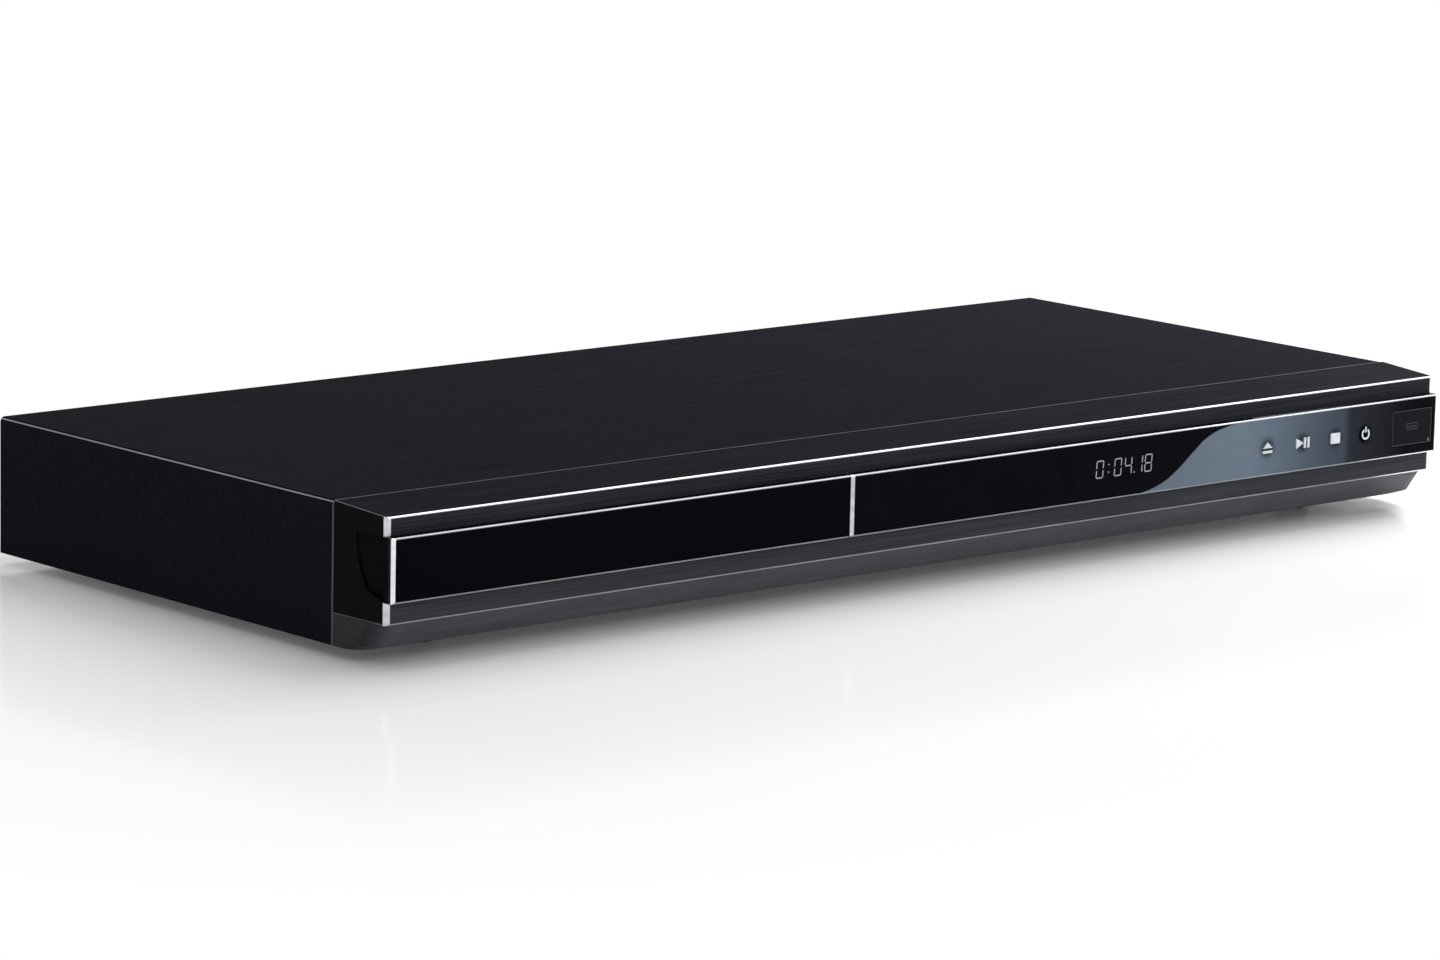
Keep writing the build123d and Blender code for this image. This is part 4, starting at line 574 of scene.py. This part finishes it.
def insertFinish(name, look):
    material, tree, shader, place = newMaterial(name, look["shader"])
    width = placeInMm(tree, place)[0]
    colour = look["colours"][0]
    for edge, following in zip(look["between"], look["colours"][1:]):
        colour = mixColours(tree, addMath(tree, "GREATER_THAN", width, edge), colour, following)
    mottleSurface(tree, shader, place, colour, look)
    return material


jackInsert = insertFinish("mouldedJackInsert", insertLook)

finishOf = {
    coatedSteel: ["top_cover"],
    satinAbs: ["front_fascia"],
    paintedReflectionAcrylic: ["display_window"],
    flapAcrylic: ["usb_flap"],
    glossAcrylic: ["tray_bezel"],
    brightTrim: ["silver_trims"],
    stripTrim: ["bezel_end_trim"],
    keyWhite: ["button_eject", "button_play", "button_stop", "button_power"],
    zincSteel: ["bottom_chassis", "clamper_bridge", "cam_slider", "traverse_frame"],
    powderCoat: ["rear_panel"],
    rubber: ["feet", "drive_belt", "turntable_pad"],
    screwSteel: ["cover_screws", "board_screws", "loader_screws"],
    mechanismAbs: ["disc_tray", "loader_frame", "rca_housing", "mains_inlet", "optical_socket",
                   "optical_shutter", "tact_switches"],
    ferrite: ["transformer"],
    chipEpoxy: ["chips", "ir_receiver"],
    jackInsert: ["rca_inserts"],
    acetal: ["drive_gear", "pulley_gear", "motor_pulley", "clamper", "turntable"],
    nickelSteel: ["loader_motor", "spindle_motor", "sled_motor", "clamper_magnet", "standoffs",
                  "usb_socket", "hdmi_socket", "lan_socket", "rca_jacks", "guide_rods", "lead_screw"],
    pickupPps: ["pickup_sled"],
    lensGlass: ["objective_lens"],
    displayGlass: ["display_module"],
    extrudedAluminium: ["heatsink"],
    ribbonPet: ["loader_ribbon"],
    sleevedPart: ["mains_capacitor", "power_parts"],
    solderMask: ["front_board", "usb_board", "main_board", "power_board"],
}
for material, names in finishOf.items():
    for name in names:
        nodes[name].data.materials.clear()
        nodes[name].data.materials.append(material)

# The least share of a normal along an axis that its face is square to, or slanted between two axes
square, slanted = 0.9, 0.5

# Places on the outer case, in mm, where one finish ends and the next begins
caseLook = {
    "plinthTop": 12.9, "bandFront": -96.0, "bandSplit": 19, "fasciaTop": 40, "topEdge": 42,
    "lowEdge": (12.5, 13.5), "bend": (0.6, 0.85), "bendUp": 0.4, "coverFront": -72,
    "endStrip": 212, "panelHeights": (19.1, 38.1), "keyFace": -96.9,
}


def dressCase(look):
    # Bright cut edges above the gloss panel, satin ones below it
    for name in ("tray_bezel", "display_window"):
        dressFaces(name, filmEdge,
                   lambda spot, normal: normal.y < -slanted and normal.z > slanted)
        dressFaces(name, satinEdge,
                   lambda spot, normal: normal.y < -slanted and normal.z < -slanted)

    # Above its plinth the fascia has sides in painted shade, a lacquered top and bands, and cut edges
    def isBand(spot, normal):
        return normal.y < -square and spot.y < look["bandFront"]

    dressFaces("front_fascia", paintedShadeSide, lambda spot, normal: spot.z > look["plinthTop"])
    dressFaces("front_fascia", brushedTop,
               lambda spot, normal: normal.z > square and spot.z > look["fasciaTop"])
    dressFaces("front_fascia", brushedLacquer,
               lambda spot, normal: isBand(spot, normal) and spot.z > look["bandSplit"])
    dressFaces("front_fascia", lowerLacquer,
               lambda spot, normal: isBand(spot, normal) and spot.z < look["bandSplit"])
    dressFaces("front_fascia", cutEdge, lambda spot, normal:
               normal.y < -slanted and normal.z > slanted and spot.z > look["topEdge"])
    low, high = look["lowEdge"]
    dressFaces("front_fascia", satinEdge, lambda spot, normal:
               normal.y < -slanted and normal.z < -slanted and low < spot.z < high)

    # The cover has painted highlights along its side bends and its front edge
    least, most = look["bend"]
    dressFaces("top_cover", paintedEdgeHighlight,
               lambda spot, normal: least < abs(normal.x) < most and normal.z > look["bendUp"])
    dressFaces("top_cover", paintedEdgeHighlight,
               lambda spot, normal: normal.y < -square and spot.y < look["coverFront"])

    # The display window's end strip is of the same plate as the bezel's
    bottom, top = look["panelHeights"]
    dressFaces("silver_trims", stripTrim,
               lambda spot, normal: spot.x > look["endStrip"] and bottom < spot.z < top)

    # The power key is dark gloss behind its raised sign
    dressFaces("button_power", glossAcrylic, lambda spot, normal: spot.y < look["keyFace"])


# Parts of one solid that are another material in the real one, by their places and sizes in mm
partLook = {
    "winding": {"middle": 7.9, "half": 12.05},
    "canTops": {"mains": 30, "row": -20},
    "coil": {"widths": (170, 186.1), "near": 35},
    "fuse": 196,
    "fins": {"right": 138, "near": -12},
    "mainsPins": {"middle": (187, 20.5), "apart": 4.3, "radius": 1.3, "far": 88},
    "usbTongue": {"centre": (202.2, 29.1), "half": (5.7, 0.9)},
    "hdmiTongue": {"centre": 57, "half": 5.5, "heights": (14.4, 15.7)},
}


def dressParts(look):
    winding, coil, fins = look["winding"], look["coil"], look["fins"]
    pins, usb, hdmi = look["mainsPins"], look["usbTongue"], look["hdmiTongue"]

    def isPin(spot, normal):
        across = abs(spot.x - pins["middle"][0]) - pins["apart"]
        away = math.hypot(across, spot.z - pins["middle"][1])
        return away < pins["radius"] and spot.y < pins["far"]

    def isUsbTongue(spot, normal):
        across, up = abs(spot.x - usb["centre"][0]), abs(spot.z - usb["centre"][1])
        return across < usb["half"][0] and up < usb["half"][1]

    def isHdmiTongue(spot, normal):
        low, high = hdmi["heights"]
        return abs(spot.x - hdmi["centre"]) < hdmi["half"] and low < spot.z < high

    dressFaces("transformer", windingTape,
               lambda spot, normal: abs(spot.y - winding["middle"]) > winding["half"])
    dressFaces("mains_capacitor", canAluminium,
               lambda spot, normal: normal.z > square and spot.z > look["canTops"]["mains"])
    dressFaces("power_parts", canAluminium,
               lambda spot, normal: normal.z > square and spot.y < look["canTops"]["row"])
    left, right = coil["widths"]
    dressFaces("power_parts", enamelledCopper,
               lambda spot, normal: left < spot.x < right and spot.y > coil["near"])
    dressFaces("power_parts", fuseCeramic, lambda spot, normal: spot.x > look["fuse"])
    dressFaces("power_parts", extrudedAluminium,
               lambda spot, normal: spot.x < fins["right"] and spot.y > fins["near"])
    dressFaces("mains_inlet", nickelSteel, isPin)
    dressFaces("usb_socket", mechanismAbs, isUsbTongue)
    dressFaces("hdmi_socket", mechanismAbs, isHdmiTongue)


dressCase(caseLook)
dressParts(partLook)
print("finishes set")


# Pieces of the front

# Lit figures of the display, seen at the face of the window: a running time in thin slanted
# strokes. Places and sizes in mm; heights are counted from the base
figureLook = {
    "strokes": {"0": "abcdef", "1": "bc", "4": "bcfg", "8": "abcdefg"},
    "figures": [("0", 59.3), ("0", 67.1), ("4", 71.6), ("1", 76.2), ("8", 80.3)],
    "dots": [(64.7, 1.6), (64.7, 4.0), (75.9, 0.5)], "dotHalf": 0.228,
    "width": 3.2, "height": 5.6, "stroke": 0.38, "gap": 0.14, "base": 26.2, "slant": 0.06,
    "front": -98.82, "thickness": 0.06, "ease": 0.02,
    "shader": {"Base Color": linearColour("#0d0f12"), "IOR": 1.5, "Specular IOR Level": 0.05,
               "Emission Strength": 0.7},
    "glow": "#c2c7d3", "grain": (0.3, 0.3, 0.3), "mottle": 0.35, "mottleColour": "#8d93a3",
    "rough": (0.3, 0.45),
}


# Lit filaments: a cool white glow, uneven along the wires
def litFilament(name, look):
    material, tree, shader, place = newMaterial(name, look["shader"])
    mottleSurface(tree, shader, place, look["glow"], look, "Emission Color")
    return material


# The seven strokes of a figure as rectangles: left, bottom, right, top
def strokeBoxes(look):
    width, height, line, gap = look["width"], look["height"], look["stroke"], look["gap"]
    middle = height / 2
    across = {"a": height - line, "g": middle - line / 2, "d": 0.0}
    upright = {"b": (width - line, middle), "c": (width - line, 0), "e": (0, 0), "f": (0, middle)}
    ends = (line / 2 + gap, width - line / 2 - gap)
    boxes = {key: (ends[0], low, ends[1], low + line) for key, low in across.items()}
    for key, (left, low) in upright.items():
        boxes[key] = (left, low + line / 2 + gap, left + line, low + middle - line / 2 - gap)
    return boxes


def addFigures(look):
    mesh = bmesh.new()
    boxes = strokeBoxes(look)
    bars = []
    for figure, place in look["figures"]:
        for stroke in look["strokes"][figure]:
            left, low, right, high = boxes[stroke]
            bars.append((place + left, low, place + right, high))
    half = look["dotHalf"]
    bars += [(x - half, z - half, x + half, z + half) for x, z in look["dots"]]
    front, base = look["front"], look["base"]
    for left, low, right, high in bars:
        addBar(mesh, (left, front, low + base), (right, front + look["thickness"], high + base),
               look["ease"])
    for vert in mesh.verts:
        vert.co.x += (vert.co.z - base * mm) * look["slant"]
    filament = litFilament("vacuumFluorescentFigures", look)
    addPiece("display_figures", mesh, "case", filament)


# The power sign on its key, in mm: a ring open at the top and a stroke through the opening. The
# ring has two radii and half an opening in degrees, the stroke a half width and two heights
powerLook = {
    "centre": (180.0, 28.3), "ring": (1.2, 1.85), "opening": 32, "steps": 40,
    "stroke": (0.3, 0.5, 2.4), "front": -99.13, "thickness": 0.08, "ease": 0.02,
}


def addPowerSign(look):
    mesh = bmesh.new()
    x, z = look["centre"]
    front, back = look["front"], look["front"] + look["thickness"]
    inner, outer = look["ring"]
    start = math.radians(look["opening"])
    section = []
    for radius, y in ((inner, front), (outer, front), (outer, back), (inner, back)):
        across, up = radius * mm * math.sin(start), radius * mm * math.cos(start)
        section.append(mesh.verts.new((x * mm + across, y * mm, z * mm + up)))
    face = mesh.faces.new(section)
    bmesh.ops.spin(mesh, geom=[face, *face.edges, *face.verts], cent=Vector((x, 0, z)) * mm,
                   axis=(0, 1, 0), dvec=(0, 0, 0), angle=2 * math.pi - 2 * start,
                   steps=look["steps"], use_merge=False, use_duplicate=False)
    half, low, high = look["stroke"]
    addBar(mesh, (x - half, front, z + low), (x + half, back, z + high), look["ease"])
    addPiece("power_sign", mesh, "key_power", keyWhite)


# The small bright bead on the flap that a fingernail finds, in mm
beadLook = {"centre": (210.0, -98.75, 23.6), "radius": 0.55, "rise": 0.3}


def addBead(look):
    mesh = bmesh.new()
    radius = look["radius"]
    flatten = Matrix.Diagonal((1, look["rise"] / radius, 1, 1))
    place = Matrix.Translation(Vector(look["centre"]) * mm) @ flatten
    bmesh.ops.create_uvsphere(mesh, u_segments=24, v_segments=12, radius=radius * mm, matrix=place)
    for face in mesh.faces:
        face.smooth = True
    addPiece("flap_bead", mesh, "usb_flap", cutEdge)


addFigures(figureLook)
addPowerSign(powerLook)
addBead(beadLook)
print("front details added")


# Contacts and small parts

# Springs of the network socket, in mm: gold wires that slope down from its roof
lanLook = {"centre": 36.0, "pitch": 1.02, "count": 8, "width": 0.4, "depths": (76.0, 86.0),
           "heights": (18.6, 21.2)}


def addLanContacts(look):
    mesh = bmesh.new()
    width, (deep, mouth), (low, roof) = look["width"], look["depths"], look["heights"]
    first = look["centre"] - (look["pitch"] * (look["count"] - 1) + width) / 2
    for index in range(look["count"]):
        left = first + index * look["pitch"]
        verts = addBar(mesh, (left, deep, roof), (left + width, mouth, roof + width))
        for vert in verts:
            if vert.co.y < (deep + mouth) / 2 * mm:
                vert.co.z += (low - roof) * mm
    addPiece("lan_contacts", mesh, "case", goldFlash)


# Rows of small parts on the boards, in mm: first corner, step, count and size. The top is the
# board's own
smallPartRows = {
    "chip_resistors": {"finish": ferrite, "top": 12.1, "rows": [
        ((-30, 8), (3.4, 0), 12, (2.0, 1.2, 0.6)), ((-30, 12), (3.4, 0), 9, (1.6, 0.8, 0.5)),
        ((70, 18), (3.0, 0), 14, (1.6, 0.8, 0.5)), ((70, 34), (0, 3.0), 8, (0.8, 1.6, 0.5)),
        ((84, 40), (3.2, 0), 9, (2.0, 1.2, 0.6)), ((-22, 50), (0, 3.0), 7, (0.8, 1.6, 0.5)),
    ]},
    "chip_capacitors": {"finish": fuseCeramic, "top": 12.1, "rows": [
        ((14, 14), (5.0, 0), 7, (2.0, 1.2, 1.0)), ((72, 24), (4.2, 0), 8, (2.0, 1.2, 1.1)),
        ((88, 48), (0, 4.4), 6, (1.2, 2.0, 1.0)), ((-34, 26), (0, 4.2), 6, (1.2, 2.0, 1.0)),
    ]},
}


def addSmallParts(name, look):
    mesh = bmesh.new()
    for (x, y), (stepX, stepY), count, size in look["rows"]:
        for index in range(count):
            low = Vector((x + index * stepX, y + index * stepY, look["top"]))
            addBar(mesh, low, low + Vector(size))
    addPiece(name, mesh, "case", look["finish"])


# Gull-wing legs along the left and right sides of the chips, in mm. A chip has its two sides, its
# two ends and the pitch of its legs; the knee lies at a share of the reach
legLook = {
    "width": 0.35, "thick": 0.15, "reach": 1.3, "knee": 0.45, "root": 0.1, "top": 12.1,
    "shoulder": 13.0, "margin": 1.0,
    "chips": [((20, 44), (21.9, 45.9), 1.3), ((52, 64), (15.9, 31.9), 1.0),
              ((52, 64), (37.9, 53.9), 1.0), ((0, 14), (23.9, 37.9), 1.27)],
}


def addChipLegs(look):
    mesh = bmesh.new()
    half, thick, top, shoulder = look["width"] / 2, look["thick"], look["top"], look["shoulder"]

    def addLegBar(ends, y, low, high):
        left, right = sorted(ends)
        addBar(mesh, (left, y - half, low), (right, y + half, high))

    for sides, (near, far), pitch in look["chips"]:
        count = int((far - near - 2 * look["margin"]) / pitch)
        start = (near + far) / 2 - pitch * (count - 1) / 2
        for index in range(count):
            y = start + index * pitch
            for edge, side in zip(sides, (-1, 1)):
                outer = edge + side * look["reach"]
                knee = edge + side * look["reach"] * look["knee"]
                inner = knee + side * thick
                addLegBar((knee, outer), y, top, top + thick)
                addLegBar((edge - side * look["root"], inner), y, shoulder, shoulder + thick)
                addLegBar((knee, inner), y, top, shoulder)
    addPiece("chip_legs", mesh, "case", tinPlate)


addLanContacts(lanLook)
for name, look in smallPartRows.items():
    addSmallParts(name, look)
addChipLegs(legLook)
print("contacts and small parts added")


# Floor and light

# A pale satin floor, lit near the object, on which a plain white glow grows with the distance from
# its footprint until it is all white; the glow is painted light that also lightens the object's
# shadow, and a least share of it lies even next to the object. Sizes in metres
floorLook = {
    "size": 14.0, "half": (0.215, 0.096), "fade": 0.26, "least": 0.05,
    "shader": {"Base Color": linearColour("#eeeff2"), "Roughness": 0.12,
               "Specular IOR Level": 0.2},
}


def floorFinish(name, look):
    material, tree, shader, place = newMaterial(name, look["shader"])
    axes = addNode(tree, "ShaderNodeSeparateXYZ", links={0: place}).outputs
    away = []
    for axis, half in zip(axes, look["half"]):
        past = addMath(tree, "SUBTRACT", addMath(tree, "ABSOLUTE", axis), half)
        away.append(addMath(tree, "POWER", addMath(tree, "MAXIMUM", past, 0.0), 2.0))
    distance = addMath(tree, "SQRT", addMath(tree, "ADD", *away))
    share = addMath(tree, "MINIMUM", addMath(tree, "DIVIDE", distance, look["fade"]), 1.0)
    fade = addMath(tree, "MAXIMUM", addMath(tree, "SQRT", share), look["least"])
    glow = addNode(tree, "ShaderNodeEmission", values={"Color": (1, 1, 1, 1), "Strength": 1.0})
    lit = addNode(tree, "ShaderNodeMixShader",
                  links={0: fade, 1: shader.outputs[0], 2: glow.outputs[0]})
    # Seen from below the floor is clear, so that the underside shows
    below = addNode(tree, "ShaderNodeNewGeometry").outputs["Backfacing"]
    clear = addNode(tree, "ShaderNodeBsdfTransparent")
    seen = addNode(tree, "ShaderNodeMixShader",
                   links={0: below, 1: lit.outputs[0], 2: clear.outputs[0]})
    output = next(node for node in tree.nodes if node.type == "OUTPUT_MATERIAL")
    tree.links.new(seen.outputs[0], output.inputs["Surface"])
    return material


def addFloor(look):
    mesh = bmesh.new()
    bmesh.ops.create_grid(mesh, x_segments=1, y_segments=1, size=look["size"] / 2)
    floor = addObject("floor", mesh, floorFinish("studioFloor", look))


# Plain light from all round, and plain white where the camera or a mirror sees past the floor
def addWorld(strength):
    world = bpy.data.worlds.new("studio")
    bpy.context.scene.world = world
    world.use_nodes = True
    tree = world.node_tree
    tree.nodes.clear()
    path = addNode(tree, "ShaderNodeLightPath").outputs
    seen = addMath(tree, "MAXIMUM", path["Is Camera Ray"], path["Is Transmission Ray"])
    seen = addMath(tree, "MAXIMUM", seen, path["Is Glossy Ray"])
    plain, white = (addNode(tree, "ShaderNodeBackground",
                            values={"Color": (1, 1, 1, 1), "Strength": level})
                    for level in (strength, 1.0))
    mix = addNode(tree, "ShaderNodeMixShader",
                  links={0: seen, 1: plain.outputs[0], 2: white.outputs[0]})
    addNode(tree, "ShaderNodeOutputWorld", links={"Surface": mix.outputs[0]})


# A soft box at a place, facing a point
def addSoftBox(name, look):
    light = bpy.data.lights.new(name, "AREA")
    light.shape = "RECTANGLE"
    light.size, light.size_y = look["size"]
    light.energy = look["watts"]
    lamp = bpy.data.objects.new(name, light)
    lamp.location = look["place"]
    aim = Vector(look["aim"]) - Vector(look["place"])
    lamp.rotation_euler = aim.to_track_quat("-Z", "Y").to_euler()
    bpy.context.scene.collection.objects.link(lamp)


# Soft boxes, in metres: one high on the right, a small one low on the right that lights the
# cover's right end, and a large one far in front
softBoxes = {
    "overheadBox": {"size": (1.2, 0.9), "watts": 7.5, "place": (0.7, -0.1, 0.9), "aim": (0, 0, 0)},
    "sideBox": {"size": (0.25, 0.25), "watts": 2.4, "place": (0.46, 0.02, 0.28),
                "aim": (0.2, 0, 0.04)},
    "frontFill": {"size": (1.6, 1.0), "watts": 7, "place": (-0.1, -2.0, 1.2), "aim": (0, 0, 0)},
}
addFloor(floorLook)
addWorld(strength=0.55)
for name, look in softBoxes.items():
    addSoftBox(name, look)
print("floor and lights set")


# Camera, from the edges of the case in the photograph, in metres and radians
cameraLook = {
    "place": (-1.22447, -1.38573, 0.35718),
    "yaw": 0.72079, "pitch": 0.18196, "roll": 0.02183,
    "focalPixels": 6012.92, "widthPixels": 1440, "sensor": 36.0,
}


def addCamera(look):
    yaw, pitch, roll = look["yaw"], look["pitch"], look["roll"]
    level = math.cos(pitch)
    forward = Vector((math.sin(yaw) * level, math.cos(yaw) * level, -math.sin(pitch)))
    right = Vector((math.cos(yaw), -math.sin(yaw), 0))
    up = right.cross(forward)
    turnedRight = right * math.cos(roll) + up * math.sin(roll)
    turnedUp = up * math.cos(roll) - right * math.sin(roll)
    camera = bpy.data.objects.new("camera", bpy.data.cameras.new("camera"))
    camera.data.sensor_width = look["sensor"]
    camera.data.lens = look["focalPixels"] / look["widthPixels"] * look["sensor"]
    turn = Matrix((turnedRight, turnedUp, -forward)).transposed()
    camera.matrix_world = Matrix.Translation(look["place"]) @ turn.to_4x4()
    bpy.context.scene.collection.objects.link(camera)
    bpy.context.scene.camera = camera


addCamera(cameraLook)
bpy.context.scene.view_settings.view_transform = "Standard"
